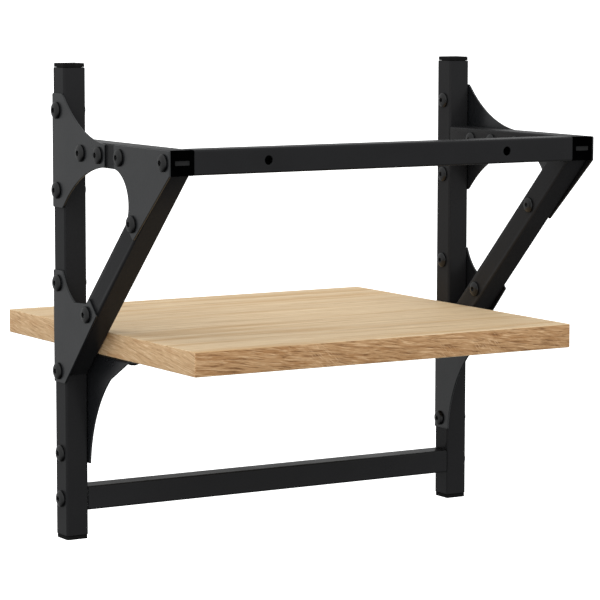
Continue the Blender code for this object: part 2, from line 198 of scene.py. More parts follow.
def inset(outline: Array, distance: float) -> Array:
    """Moves an outline to its left by a distance.

    Each point moves along m = (n1 + n2) / (1 + n1 . n2), where n1 and n2 are the unit normals to
    the left of the sides that meet there, so that both sides move by exactly the distance.

    Args:
        outline: A closed outline with its material on the left.
        distance: How far the sides move into the material.

    Returns:
        The moved outline.
    """
    along = np.roll(outline, -1, axis=0) - outline
    along /= np.linalg.norm(along, axis=1)[:, None]
    after = np.column_stack((-along[:, 1], along[:, 0]))
    before = np.roll(after, 1, axis=0)
    mitre = (before + after) / (1 + np.sum(before * after, axis=1))[:, None]
    return outline + distance * mitre


def rounded_loop(half: tuple[float, float], corner: float, steps: int = 6,
                 support: float = 0.0) -> Array:
    """A rectangle with round corners: each corner's centre plus its radius times (cos a, sin a).

    Args:
        half: Half the width and half the height.
        corner: The corner radius. Equal to both halves it gives a circle.
        steps: Steps in each corner.
        support: How far past each corner's arc one more point lies on the straight side.

    Returns:
        The points, counter-clockwise from the middle of the +first side.
    """
    angle = (np.arange(4)[:, None] + np.linspace(0, 1, steps + 1)) * pi / 2
    spoke = np.stack((np.cos(angle), np.sin(angle)), axis=-1)
    signs = np.array([[1, 1], [-1, 1], [-1, -1], [1, -1]])
    centre = (signs * (np.asarray(half) - corner))[:, None]
    ring = centre + corner * spoke
    if support:
        travel = np.stack((-spoke[..., 1], spoke[..., 0]), axis=-1)
        first, last = ring[:, :1] - support * travel[:, :1], ring[:, -1:] + support * travel[:, -1:]
        ring = np.concatenate((first, ring, last), axis=1)
    return ring.reshape(-1, 2)


def quarter_round(radius: float, steps: int = 4) -> Array:
    """An edge's rounding as (inset, drop): radius times (1 - sin a, 1 - cos a), a up to 90 degrees."""
    angle = np.linspace(0, pi / 2, steps + 1)
    return radius * np.column_stack((1 - np.sin(angle), 1 - np.cos(angle)))


def raised(outline: Array, height: float | Array) -> Array:
    """Flat points with a height added as their third coordinate."""
    return np.column_stack((outline, np.broadcast_to(height, len(outline))))


def placed(points: Array, origin: Array, axes: Array) -> Array:
    """Local points in the frame: the origin plus each coordinate times its axis."""
    return np.asarray(origin, float) + points @ axes


class Shell:
    """Patches of one surface, gathered as arrays and then made one mesh."""

    def __init__(self) -> None:
        """Starts with no patches."""
        self.points: list[Array] = []
        self.faces: list[list[int]] = []
        self.count = 0

    def _add(self, points: Array, faces: Array) -> None:
        """Takes in a patch's points and its faces, numbered within the patch."""
        self.faces += (faces + self.count).tolist()
        self.points.append(points)
        self.count += len(points)

    def grid(self, rows: Array, closed: bool = True) -> None:
        """Adds a grid of points with four-sided faces between neighbours.

        Args:
            rows: Points as (row, column, coordinate).
            closed: Whether the last column joins the first.
        """
        high, wide = rows.shape[:2]
        index = np.arange(high * wide).reshape(high, wide)
        if closed:
            index = np.concatenate((index, index[:, :1]), axis=1)
        corners = (index[:-1, :-1], index[:-1, 1:], index[1:, 1:], index[1:, :-1])
        self._add(rows.reshape(-1, 3), np.stack(corners, axis=-1).reshape(-1, 4))

    def flat(self, loops: list[Array], height: float) -> None:
        """Fills a flat outline with triangles, at a height. Loops after the first are its holes."""
        rings = [[Vector((a, b, 0)) for a, b in loop] for loop in loops]
        triangles = np.array(tessellate_polygon(rings))
        self._add(raised(np.concatenate(loops), height), triangles)

    def moved(self, origin: Array, axes: Array) -> None:
        """Puts every point gathered so far in its place in the frame."""
        self.points = [placed(points, origin, axes) for points in self.points]

    def take(self, other: "Shell") -> None:
        """Adds another shell's patches to this one."""
        self.faces += [[corner + self.count for corner in face] for face in other.faces]
        self.points += other.points
        self.count += other.count

    def build(self, name: str) -> bpy.types.Object:
        """Makes the object: points that meet are merged, faces point out, sharp edges stay sharp.

        Args:
            name: The object's name.

        Returns:
            The object, at the origin and linked to the scene.
        """
        mesh = bpy.data.meshes.new(name)
        mesh.from_pydata(np.concatenate(self.points), [], self.faces)
        close_seams(mesh)
        piece = bpy.data.objects.new(name, mesh)
        bpy.context.scene.collection.objects.link(piece)
        return piece


def close_seams(mesh: bpy.types.Mesh) -> None:
    """Merges points that meet, turns the faces outwards and shades the mesh smooth."""
    shape = bmesh.new()
    shape.from_mesh(mesh)
    bmesh.ops.remove_doubles(shape, verts=shape.verts, dist=MERGE)
    bmesh.ops.recalc_face_normals(shape, faces=shape.faces)
    if shape.calc_volume(signed=True) < 0:
        bmesh.ops.reverse_faces(shape, faces=shape.faces)
    shape.to_mesh(mesh)
    shape.free()
    mesh.shade_smooth()
    mesh.set_sharp_from_angle(angle=SHARP_ANGLE)


def united(piece: bpy.types.Object, extras: list[bpy.types.Object]) -> bpy.types.Object:
    """Joins closed pieces into the first one by a Boolean union, and removes the others."""
    for extra in extras:
        step = piece.modifiers.new("union", "BOOLEAN")
        step.operation, step.object, step.solver = "UNION", extra, "EXACT"
    evaluated = piece.evaluated_get(bpy.context.evaluated_depsgraph_get())
    mesh = bpy.data.meshes.new_from_object(evaluated)
    piece.modifiers.clear()
    piece.data = mesh
    close_seams(mesh)
    for extra in extras:
        bpy.data.objects.remove(extra, do_unlink=True)
    return piece


# --- Places from the frame -----------------------------------------------------------------------


@dataclass(frozen=True)
class Box:
    """A CAD node's box at rest."""

    low: Array
    high: Array

    @classmethod
    def of(cls, node: str) -> "Box":
        """The box of a node."""
        low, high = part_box(node)
        return cls(np.array(low), np.array(high))

    @property
    def middle(self) -> Array:
        """The box's middle point."""
        return (self.low + self.high) / 2

    @property
    def size(self) -> Array:
        """The box's three sizes."""
        return self.high - self.low

    def holds(self, out: float, up: float) -> bool:
        """Whether a side point lies within the box as seen from the side."""
        return self.low[1] < -out < self.high[1] and self.low[2] < up < self.high[2]


def bolt_nodes(word: str) -> list[str]:
    """The names of one bracket's bolts."""
    return sorted(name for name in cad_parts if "_bolt" in name and name.endswith(f"_{word}"))


def bolts_through(node: str, word: str) -> list[tuple[float, float]]:
    """Side points (out, up) of the bolts that pass through a node's box."""
    box = Box.of(node)
    middles = [Box.of(bolt).middle for bolt in bolt_nodes(word)]
    return [(-middle[1], middle[2]) for middle in middles if box.holds(-middle[1], middle[2])]


# --- Finishes ------------------------------------------------------------------------------------


def paint(red: float, green: float, blue: float) -> tuple[float, float, float, float]:
    """A colour on the usual 0 to 255 scale as the linear light that a shader wants."""
    share = np.array((red, green, blue)) / 255
    linear = np.where(share <= 0.04045, share / 12.92, ((share + 0.055) / 1.055) ** 2.4)
    return (*linear.tolist(), 1.0)


class Graph:
    """A material's node tree, with short ways to add nodes and join them."""

    def __init__(self, name: str) -> None:
        """Makes the material with its one shader."""
        self.material = bpy.data.materials.new(name)
        self.material.use_nodes = True
        self.tree = self.material.node_tree
        self.shader = self.tree.nodes["Principled BSDF"]
        self.source = self.tree.nodes.new("ShaderNodeTexCoord").outputs["Object"]

    def node(self, kind: str, inputs: dict, **settings: object) -> bpy.types.Node:
        """Adds a node.

        Args:
            kind: The node's type, without "ShaderNode".
            inputs: Values or sockets for its inputs, by name or number.
            settings: Its own properties.

        Returns:
            The node.
        """
        made = self.tree.nodes.new(f"ShaderNode{kind}")
        for key, value in settings.items():
            setattr(made, key, value)
        for key, value in inputs.items():
            self.feed(made.inputs[key], value)
        return made

    def feed(self, socket: bpy.types.NodeSocket, value: object) -> None:
        """Sets an input to a value, or joins it to another node's output."""
        if isinstance(value, bpy.types.NodeSocket):
            self.tree.links.new(value, socket)
        else:
            socket.default_value = value

    def mapped(self, scale: Stretch, turn: Stretch = (0, 0, 0),
               source: bpy.types.NodeSocket | None = None) -> bpy.types.NodeSocket:
        """Coordinates stretched by a scale, then turned by angles in degrees.

        Args:
            scale: The stretch along X, Y and Z.
            turn: The angles about X, Y and Z.
            source: The coordinates, or None for Object coordinates.

        Returns:
            The new coordinates.
        """
        turned = tuple(radians(angle) for angle in turn)
        inputs = {"Vector": source or self.source, "Scale": scale, "Rotation": turned}
        return self.node("Mapping", inputs).outputs["Vector"]

    def noise(self, vector: bpy.types.NodeSocket, scale: float = 1.0, detail: float = 2.0,
              roughness: float = 0.5, distortion: float = 0.0) -> bpy.types.NodeSocket:
        """Soft noise from 0 to 1, mostly near a half."""
        inputs = {"Vector": vector, "Scale": scale, "Detail": detail, "Roughness": roughness,
                  "Distortion": distortion}
        return self.node("TexNoise", inputs).outputs["Fac"]

    def math(self, operation: str, first: object, second: object = 0.0) -> bpy.types.NodeSocket:
        """One sum on two numbers or sockets."""
        return self.node("Math", {0: first, 1: second}, operation=operation).outputs[0]

    def between(self, value: object, low: float, high: float, to_low: float = 0.0,
                to_high: float = 1.0) -> bpy.types.NodeSocket:
        """A value's place between low and high, as a number from to_low to to_high."""
        inputs = {"Value": value, "From Min": low, "From Max": high, "To Min": to_low, "To Max": to_high}
        return self.node("MapRange", inputs, interpolation_type="SMOOTHSTEP").outputs["Result"]

    def mix(self, share: object, first: object, second: object) -> bpy.types.NodeSocket:
        """A colour between two colours."""
        made = self.node("Mix", {"Factor": share}, data_type="RGBA")
        colours = [socket for socket in made.inputs if socket.type == "RGBA"]
        self.feed(colours[0], first)
        self.feed(colours[1], second)
        return next(socket for socket in made.outputs if socket.type == "RGBA")

    def bump(self, height: object, depth: float, strength: float = 1.0,
             under: bpy.types.NodeSocket | None = None) -> bpy.types.NodeSocket:
        """A bumped normal from a height, its full depth in metres, over another bump."""
        inputs = {"Height": height, "Distance": depth, "Strength": strength}
        made = self.node("Bump", inputs)
        if under is not None:
            self.feed(made.inputs["Normal"], under)
        return made.outputs["Normal"]

    def dress(self, **inputs: object) -> bpy.types.Material:
        """Sets the shader's inputs, named with underscores for spaces, and gives the material."""
        for name, value in inputs.items():
            self.feed(self.shader.inputs[name.replace("_", " ")], value)
        return self.material

    def coat(self, colour: object, rough: object, normal: object, gloss: float) -> bpy.types.Material:
        """Dresses the shader as a surface without metal."""
        return self.dress(Base_Color=colour, Roughness=rough, Normal=normal, Specular_IOR_Level=gloss)


def scaled(shade: Colour, lift: float, extra: float = 0.0) -> Colour:
    """A colour with each part multiplied by lift and raised by extra."""
    return tuple(value * lift + extra for value in shade)


@dataclass(frozen=True)
class PowderCoat:
    """Matt black powder coat with a fine orange peel and faint rubbed patches."""

    name: str
    shade: Colour
    gloss: float
    roughness: float = 0.32
    uneven_roughness: float = 0.05
    uneven_shade: float = 0.07
    patch_scale: float = 28.0
    patch_share: tuple[float, float] = (0.15, 0.6)
    peel_scale: float = 620.0  # waves about 1.6 mm apart
    peel_depth: float = 0.00003
    grain_scale: float = 3200.0  # grains of about 0.3 mm
    grain_depth: float = 0.00001
    grain_share: float = 0.4

    def material(self) -> bpy.types.Material:
        """The finish as a material."""
        graph = Graph(self.name)
        patches = graph.noise(graph.source, self.patch_scale, detail=5, roughness=0.62)
        grain = graph.noise(graph.source, self.grain_scale, detail=2)
        peel = graph.noise(graph.source, self.peel_scale, detail=2)
        rubbed = graph.between(patches, NOISE_LOW, NOISE_HIGH, *self.patch_share)
        speckled = graph.between(grain, NOISE_LOW, NOISE_HIGH, 0.0, self.grain_share)
        share = graph.math("ADD", rubbed, speckled)
        darker = scaled(self.shade, 1 - self.uneven_shade)
        lighter = scaled(self.shade, 1 + self.uneven_shade)
        colour = graph.mix(share, paint(*darker), paint(*lighter))
        smooth, rough = self.roughness - self.uneven_roughness, self.roughness + self.uneven_roughness
        spread = graph.between(patches, NOISE_LOW, NOISE_HIGH, smooth, rough)
        normal = graph.bump(grain, self.grain_depth, under=graph.bump(peel, self.peel_depth))
        return graph.coat(colour, spread, normal, self.gloss)


@dataclass(frozen=True)
class TurnedSteel:
    """Blackened steel of the fasteners, with fine rings left by turning."""

    name: str = "blackened_fastener"
    shade: Colour = (8, 8, 9)
    worn: Colour = (20, 20, 21)
    gloss: float = 0.34
    smooth: float = 0.18  # roughness in the troughs of the rings
    rough: float = 0.32  # and on their crests
    ring_scale: float = 5200.0  # rings about 0.2 mm apart
    ring_depth: float = 0.000006
    speck_scale: float = 1400.0

    def material(self) -> bpy.types.Material:
        """The finish as a material. It reads each point's distance from its fastener's axis."""
        graph = Graph(self.name)
        radius = graph.node("Attribute", {}, attribute_name="turned_radius").outputs["Fac"]
        turning = {"W": radius, "Scale": self.ring_scale, "Detail": 1.0}
        rings = graph.node("TexNoise", turning, noise_dimensions="1D").outputs["Fac"]
        specks = graph.noise(graph.source, self.speck_scale, detail=3)
        colour = graph.mix(graph.between(specks, 0.5, 0.75), paint(*self.shade), paint(*self.worn))
        spread = graph.between(rings, 0.25, 0.75, self.smooth, self.rough)
        normal = graph.bump(specks, self.ring_depth, under=graph.bump(rings, self.ring_depth))
        return graph.coat(colour, spread, normal, self.gloss)


@dataclass(frozen=True)
class MouldedPlastic:
    """Dull black plastic with the fine texture of its mould and faint flow marks."""

    name: str
    shade: Colour = (1, 1, 1)
    roughness: float = 0.6
    gloss: float = 0.004
    texture_scale: float = 2300.0
    texture_depth: float = 0.00002
    flow_scale: float = 130.0

    def material(self) -> bpy.types.Material:
        """The finish as a material."""
        graph = Graph(self.name)
        texture = graph.noise(graph.source, self.texture_scale, detail=2)
        flow = graph.noise(graph.source, self.flow_scale, detail=3, distortion=0.6)
        lighter = scaled(self.shade, 1.4, extra=1)
        colour = graph.mix(graph.between(flow, 0.45, 0.8), paint(*self.shade), paint(*lighter))
        smooth, rough = self.roughness - 0.08, self.roughness + 0.06
        spread = graph.between(flow, NOISE_LOW, NOISE_HIGH, smooth, rough)
        normal = graph.bump(texture, self.texture_depth)
        return graph.coat(colour, spread, normal, self.gloss)


@dataclass(frozen=True)
class Zinc:
    """Bright zinc plating of the threaded blocks inside the bars."""

    name: str = "zinc_plating"
    pale: Colour = (196, 198, 200)
    dull: Colour = (158, 160, 160)
    spangle_scale: float = 420.0
    haze_scale: float = 1260.0
    haze_depth: float = 0.00001
    smooth: float = 0.28
    rough: float = 0.46

    def material(self) -> bpy.types.Material:
        """The finish as a material."""
        graph = Graph(self.name)
        spangle = {"Vector": graph.source, "Scale": self.spangle_scale}
        cells = graph.node("TexVoronoi", spangle).outputs["Distance"]
        haze = graph.noise(graph.source, self.haze_scale, detail=3)
        colour = graph.mix(graph.between(cells, 0.1, 0.7), paint(*self.pale), paint(*self.dull))
        spread = graph.between(haze, NOISE_LOW, NOISE_HIGH, self.smooth, self.rough)
        normal = graph.bump(haze, self.haze_depth)
        return graph.dress(Base_Color=colour, Roughness=spread, Normal=normal, Metallic=1.0)


@dataclass(frozen=True)
class Oak:
    """Oiled oak. Each cut shows the grain at its own scale, lean and contrast."""

    cut: OakCut
    pale: Colour
    middle: Colour
    warm: Colour
    dark: Colour
    band_scale: Stretch
    streak_scale: Stretch
    fibre_scale: Stretch
    pore_scale: Stretch
    contrast: float
    pore_share: float
    fibre_share: float
    sway: float  # how far the grain wanders, in metres
    sway_scale: Stretch = (5, 9, 9)
    lean: Stretch = (0, 0, 0)  # turn of the grain, in degrees
    fleck_lean: Stretch = (0, 0, 0)
    fleck_scale: Stretch = (60, 900, 900)
    fleck_patches: float = 22.0
    fleck_share: float = 0.25
    roughness: float = 0.62
    uneven_roughness: float = 0.06
    fibre_depth: float = 0.00003
    gloss: float = 0.25

    def _swayed(self, graph: Graph) -> bpy.types.NodeSocket:
        """Object coordinates plus sway times (noise - a half), so that the grain wanders."""
        wander = {"Vector": graph.mapped(self.sway_scale), "Scale": 1.0, "Detail": 2.0}
        sway = graph.node("TexNoise", wander).outputs["Color"]
        centred = graph.node("VectorMath", {0: sway, 1: (0.5, 0.5, 0.5)}, operation="SUBTRACT").outputs[0]
        shift = graph.node("VectorMath", {0: centred, "Scale": self.sway}, operation="SCALE").outputs[0]
        return graph.node("VectorMath", {0: graph.source, 1: shift}, operation="ADD").outputs[0]

    def _flecks(self, graph: Graph, swayed: bpy.types.NodeSocket) -> bpy.types.NodeSocket:
        """Pale rays that cross the grain at a steeper lean, in loose patches."""
        leaning = graph.mapped((1, 1, 1), self.fleck_lean, swayed)
        rays = graph.noise(graph.mapped(self.fleck_scale, source=leaning), detail=2)
        patches = graph.noise(graph.source, self.fleck_patches, detail=1)
        strength = graph.between(patches, 0.5, 0.62, 0.0, self.fleck_share)
        return graph.math("MULTIPLY", graph.between(rays, 0.54, 0.66), strength)

    def _ground(self, graph: Graph, bands: bpy.types.NodeSocket,
                streaks: bpy.types.NodeSocket) -> bpy.types.NodeSocket:
        """The wood's colour from its wide bands and its streaks: a higher contrast narrows each step."""
        warmth = graph.between(bands, 0.5, 0.5 + 0.22 / self.contrast)
        ground = graph.mix(warmth, paint(*self.middle), paint(*self.warm))
        light = graph.between(streaks, 0.5, 0.5 + 0.24 / self.contrast)
        lit = graph.mix(light, ground, paint(*self.pale))
        first, last = 0.5 - 0.05 / self.contrast, 0.5 - 0.27 / self.contrast
        shade = graph.between(streaks, first, last, 0.0, 0.55 * self.contrast)
        return graph.mix(shade, lit, paint(*self.dark))

    def material(self) -> bpy.types.Material:
        """The cut as a material: wide bands, streaks, fibres, pores and flecks."""
        graph = Graph(f"oak_{self.cut.value}")
        swayed = self._swayed(graph)
        place = graph.mapped((1, 1, 1), self.lean, swayed)
        bands = graph.noise(graph.mapped(self.band_scale, source=place), detail=3, roughness=0.55)
        streaks = graph.noise(graph.mapped(self.streak_scale, source=place), detail=4, roughness=0.6)
        fibres = graph.noise(graph.mapped(self.fibre_scale, source=place), detail=2)
        pores = graph.noise(graph.mapped(self.pore_scale, source=place), detail=1)
        threads = graph.between(fibres, 0.35, 0.65, 0.0, self.fibre_share)
        fine = graph.mix(threads, self._ground(graph, bands, streaks), paint(*self.warm))
        holes = graph.between(pores, 0.6, 0.72, 0.0, self.pore_share)
        pitted = graph.mix(holes, fine, paint(*self.dark))
        colour = graph.mix(self._flecks(graph, swayed), pitted, paint(*self.pale))
        smooth, rough = self.roughness - self.uneven_roughness, self.roughness + self.uneven_roughness
        spread = graph.between(streaks, NOISE_LOW, NOISE_HIGH, smooth, rough)
        normal = graph.bump(graph.math("SUBTRACT", fibres, holes), self.fibre_depth)
        return graph.coat(colour, spread, normal, self.gloss)


TUBE_COAT = PowderCoat("tube_powder_coat", (33, 33, 34), gloss=0.082)
PLATE_COAT = PowderCoat("plate_powder_coat", (22, 23, 25), gloss=0.49)
PLUG_PLASTIC = MouldedPlastic("moulded_plastic")
CAP_PLASTIC = MouldedPlastic("cap_plastic", shade=(20, 20, 20), gloss=0.04)
# The floor of the plug's slot in a lighter grey than the black plastic: a painted highlight for the light
# line along the slot.
SLOT_PAINTED_HIGHLIGHT = MouldedPlastic("plug_slot_painted_highlight", shade=(42, 42, 42), roughness=0.7)
OAK_FACE = Oak(
    OakCut.FACE,
    pale=(230, 208, 173),
    middle=(217, 192, 155),
    warm=(203, 169, 124),
    dark=(170, 132, 88),
    band_scale=(3.2, 62, 62),
    streak_scale=(9, 430, 430),
    fibre_scale=(42, 1500, 1500),
    pore_scale=(60, 1300, 1300),
    contrast=1.5,
    pore_share=0.42,
    fibre_share=0.4,
    sway=0.006,
)
OAK_LONG_EDGE = Oak(
    OakCut.LONG_EDGE,
    pale=(220, 184, 142),
    middle=(188, 148, 105),
    warm=(172, 128, 84),
    dark=(108, 72, 40),
    band_scale=(24, 60, 200),
    streak_scale=(62, 900, 1150),
    fibre_scale=(170, 1900, 2900),
    pore_scale=(95, 1500, 2100),
    contrast=1.7,
    pore_share=0.5,
    fibre_share=0.55,
    sway=0.0045,
    sway_scale=(28, 40, 60),
    lean=(0, 7, 0),
    fleck_lean=(0, 42, 0),
    fleck_scale=(200, 900, 2100),
    fleck_share=0.75,
    roughness=0.7,
    fibre_depth=0.00008,
)
OAK_END = Oak(
    OakCut.END,
    pale=(230, 200, 160),
    middle=(210, 176, 134),
    warm=(194, 153, 110),
    dark=(150, 110, 72),
    band_scale=(60, 24, 200),
    streak_scale=(900, 62, 1150),
    fibre_scale=(1900, 170, 2900),
    pore_scale=(1500, 95, 2100),
    contrast=1.4,
    pore_share=0.36,
    fibre_share=0.45,
    sway=0.0045,
    sway_scale=(40, 28, 60),
    lean=(8, 0, 0),
    fleck_lean=(46, 0, 0),
    fleck_scale=(900, 200, 2100),
    fleck_share=0.55,
    roughness=0.7,
    fibre_depth=0.00008,
)


@dataclass
class Finishes:
    """Every material of the shelf, made once."""

    tube: bpy.types.Material = field(default_factory=TUBE_COAT.material)
    plate: bpy.types.Material = field(default_factory=PLATE_COAT.material)
    fastener: bpy.types.Material = field(default_factory=TurnedSteel().material)
    plug: bpy.types.Material = field(default_factory=PLUG_PLASTIC.material)
    cap: bpy.types.Material = field(default_factory=CAP_PLASTIC.material)
    # Painted highlight: the lighter grey of the floor of the plug's slot.
    slot_painted_highlight: bpy.types.Material = field(default_factory=SLOT_PAINTED_HIGHLIGHT.material)
    zinc: bpy.types.Material = field(default_factory=Zinc().material)
    oak_face: bpy.types.Material = field(default_factory=OAK_FACE.material)
    oak_long_edge: bpy.types.Material = field(default_factory=OAK_LONG_EDGE.material)
    oak_end: bpy.types.Material = field(default_factory=OAK_END.material)


def hand_over(piece: bpy.types.Object, node: str, slot: Slot, *materials: bpy.types.Material) -> None:
    """Gives a finished piece its materials and its body, and hides the CAD node that it stands for.

    Args:
        piece: The finished piece.
        node: The CAD node that it replaces.
        slot: The slot that its finish comes from. Not used.
        materials: Its materials, in the order of its material numbers.
    """
    for material in materials:
        piece.data.materials.append(material)
    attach(piece, BODY)
    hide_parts(node)
    LOG.info("%s stands for %s with %d faces", piece.name, node, len(piece.data.polygons))


# --- Square tubes --------------------------------------------------------------------------------


@dataclass(frozen=True)
class Cut:
    """A tube's end: along the tube it lies at base plus slope times the third coordinate."""

    base: float
    slope: float = 0.0

    def at(self, third: Array) -> Array:
        """Where the cut lies for each third coordinate."""
        return self.base + self.slope * third


@dataclass
class SquareTube:
    """A square steel tube, hollow and drilled, in local (along, drill direction, third) coordinates."""

    start: Cut
    end: Cut
    origin: Array
    axes: Array
    drilled: list[float]  # places of the holes along the tube
    drill: float = 0.0058
    side: float = 0.015
    wall: float = 0.001
    corner: float = 0.0013
    inner_corner: float = 0.0004
    support: float = 0.0004  # a flat margin that keeps the shading of flat walls flat
    burr: float = 0.00015  # rounding of cut edges

    def _loops(self) -> tuple[Array, Array]:
        """The section's outer and inner outlines as (drill direction, third)."""
        half = self.side / 2
        outer = rounded_loop((half, half), self.corner, support=self.support)
        inner = rounded_loop((half - self.wall,) * 2, self.inner_corner, support=self.support)
        return outer, inner

    def _walls(self, shell: Shell, loop: Array, margin: float, hole: float) -> None:
        """Adds one skin, outer or inner: two folded strips and two pierced flat walls.

        Args:
            shell: Takes the patches.
            loop: The section's outline.
            margin: How far from each cut the skin stops.
            hole: The radius of the holes in the flat walls.
        """
        half = len(loop) // 2
        for strip in (loop[:half], loop[half:]):
            ends = (self.start.at(strip[:, 1]) + margin, self.end.at(strip[:, 1]) - margin)
            shell.grid(np.stack([np.column_stack((run, strip)) for run in ends]), closed=False)
        reach, edge = loop[0, 1], abs(loop[0, 0])
        thirds = np.array([-reach, reach, reach, -reach])
        starts, ends = self.start.at(thirds) + margin, self.end.at(thirds) - margin
        runs = np.where([True, True, False, False], starts, ends)
        rings = [np.column_stack((runs, thirds))] + [circle((run, 0.0), hole) for run in self.drilled]
        for level in (edge, -edge):
            wall = Shell()
            wall.flat(rings, level)
            wall.points = [points[:, [0, 2, 1]] for points in wall.points]
            shell.take(wall)

    def _ends(self, shell: Shell, outer: Array, inner: Array, margin: float) -> None:
        """Adds the cut ends: the outer skin rounds over into the ring between the two skins."""
        rounding = quarter_round(self.burr)[::-1]
        steps = [(margin, 0.0)] + [(drop, across) for across, drop in rounding[:, ::-1]]
        for cut, sign in ((self.start, 1), (self.end, -1)):
            rows = []
            for run, across in steps:
                loop = inset(outer, across)
                rows.append(np.column_stack((cut.at(loop[:, 1]) + sign * run, loop)))
            rows.append(np.column_stack((cut.at(inner[:, 1]), inner)))
            shell.grid(np.stack(rows))

    def build(self, name: str) -> bpy.types.Object:
        """Makes the tube. Each hole's wall is a ring: its radius times (cos a, sin a), by depth."""
        shell = Shell()
        outer, inner = self._loops()
        margin = self.burr + self.support
        rim, hole = 2 * self.burr, self.drill / 2
        self._walls(shell, outer, margin, hole + rim + self.support)
        self._walls(shell, inner, 0.0, hole)
        self._ends(shell, outer, inner, margin)
        turn = circle((0.0, 0.0), 1.0)
        rounding = [(hole + across, drop) for across, drop in quarter_round(rim)]
        profile = [(hole + rim + self.support, 0.0), *rounding, (hole, self.wall)]
        for run in self.drilled:
            for face in (1, -1):
                rows = [
                    np.column_stack((
                        run + radius * turn[:, 0],
                        np.full(len(turn), face * (self.side / 2 - depth)),
                        radius * turn[:, 1],
                    ))
                    for radius, depth in profile
                ]
                shell.grid(np.stack(rows))
        shell.moved(self.origin, self.axes)
        return shell.build(name)


# --- Flat and folded plates ----------------------------------------------------------------------


@dataclass
class SheetPlate:
    """A cut steel plate with rounded edges, in local (out, up, through) coordinates."""

    outline: Array
    holes: list[tuple[float, float]]
    drill: float = 0.0058
    thickness: float = 0.0012
    edge: float = 0.0003
    support: float = 0.0003
    corner: float = 0.0009

    def _edge_profile(self) -> Array:
        """The edge from face to face as (inset, height): a margin, a quarter round, and both mirrored."""
        half = self.thickness / 2
        rounding = quarter_round(self.edge)
        margin = np.array([[self.edge + self.support, half]])
        upper = np.concatenate((margin, np.column_stack((rounding[:, 0], half - rounding[:, 1]))))
        return np.concatenate((upper, upper[::-1] * (1, -1)))

    def shell(self) -> Shell:
        """The plate as a closed shell: every outline's edge is swept, and two faces close it."""
        shell = Shell()
        holes = [circle(point, self.drill / 2, HOLE_SIDES) for point in self.holes]
        loops = [filleted(self.outline, self.corner), *holes]
        profile = self._edge_profile()
        for loop in loops:
            shell.grid(np.stack([raised(inset(loop, across), height) for across, height in profile]))
        margins = [inset(loop, self.edge + self.support) for loop in loops]
        for height in (self.thickness / 2, -self.thickness / 2):
            shell.flat(margins, height)
        return shell


@dataclass
class Bend:
    """A right-angle fold: points above its line turn inwards about an axis along the plate."""

    line: float  # height where the fold starts
    radius: float  # of the plate's middle surface
    web: float  # how far the upright middle surface is from the shelf's middle plane
    side: int
    steps: int = 7

    @property
    def length(self) -> float:
        """The length of the fold along the middle surface."""
        return self.radius * pi / 2

    def lines(self) -> Array:
        """Heights on the flat plate where it needs an edge so that the fold comes out round."""
        return np.linspace(self.line, self.line + self.length, self.steps)

    def fold(self, points: Array) -> Array:
        """Folds flat points (out, up, through) into the frame.

        Up to the line a point stays upright. Past it, the run r becomes the angle r / radius, up
        to a right angle, and what is left over runs on inwards. Through is added along the turned
        normal (cos angle, sin angle).

        Args:
            points: The flat plate's points.

        Returns:
            Their places in the frame.
        """
        out, up, through = points.T
        run = np.clip(up - self.line, 0, self.length)
        angle = run / self.radius
        rest = np.maximum(up - self.line - self.length, 0)
        across = self.web - self.radius * (1 - np.cos(angle)) - rest + through * np.cos(angle)
        height = np.minimum(up, self.line) + self.radius * np.sin(angle) + through * np.sin(angle)
        return np.column_stack((self.side * across, -out, height))


def folded(shell: Shell, bend: Bend, name: str) -> bpy.types.Object:
    """Builds a flat plate, cuts it along the fold's lines and folds it."""
    piece = shell.build(name)
    shape = bmesh.new()
    shape.from_mesh(piece.data)
    for height in bend.lines():
        parts = [*shape.verts, *shape.edges, *shape.faces]
        bmesh.ops.bisect_plane(shape, geom=parts, dist=1e-7, plane_co=(0, height, 0), plane_no=(0, 1, 0))
    bmesh.ops.triangulate(shape, faces=[face for face in shape.faces if len(face.verts) > 4])
    shape.to_mesh(piece.data)
    shape.free()
    points = np.empty(len(piece.data.vertices) * 3, np.float32)
    piece.data.vertices.foreach_get("co", points)
    folded_points = bend.fold(points.reshape(-1, 3).astype(float))
    piece.data.vertices.foreach_set("co", folded_points.astype(np.float32).ravel())
    close_seams(piece.data)
    return piece


# --- Turned and lofted pieces --------------------------------------------------------------------


def loft(stations: list[Station], steps: int = 5, support: float = 0.0004) -> Shell:
    """A surface through rounded rectangles, one a station, closed where a station has no size.

    Args:
        stations: (half width, half height, corner radius, place along the axis).
        steps: Steps in each corner.
        support: The flat margin beside each corner.

    Returns:
        The surface as a shell in local (width, height, axis) coordinates.
    """
    shell = Shell()
    rows = []
    for wide, high, corner, place in stations:
        margin = min(support, MARGIN_SHARE * max(min(wide, high) - corner, 0.0)) or TINY
        rows.append(raised(rounded_loop((wide, high), corner, steps, margin), place))
    shell.grid(np.stack(rows))
    return shell


def pole(place: float) -> Station:
    """A loft station with no size, which closes the loft."""
    return (0.0, 0.0, 0.0, place)


def rounded_end(wide: float, high: float, corner: float, edge: float, place: float, inward: int,
                margin: float = 0.0004) -> list[Station]:
    """Loft stations from a flat end round onto the sides.

    Args:
        wide: Half the width of the sides.
        high: Half their height.
        corner: Their corner radius.
        edge: The rounding between the end and the sides.
        place: Where the flat end lies along the axis.
        inward: 1 if the sides run to larger places, else -1.
        margin: A flat margin on the end, inside the rounding.

    Returns:
        The stations, from the margin on the flat end to the start of the straight sides.
    """
    profile = [(edge + margin, 0.0)] + [(across, drop) for across, drop in quarter_round(edge)]
    return [
        (wide - across, high - across, max(corner - across, corner * 0.3), place + inward * drop)
        for across, drop in profile
    ]


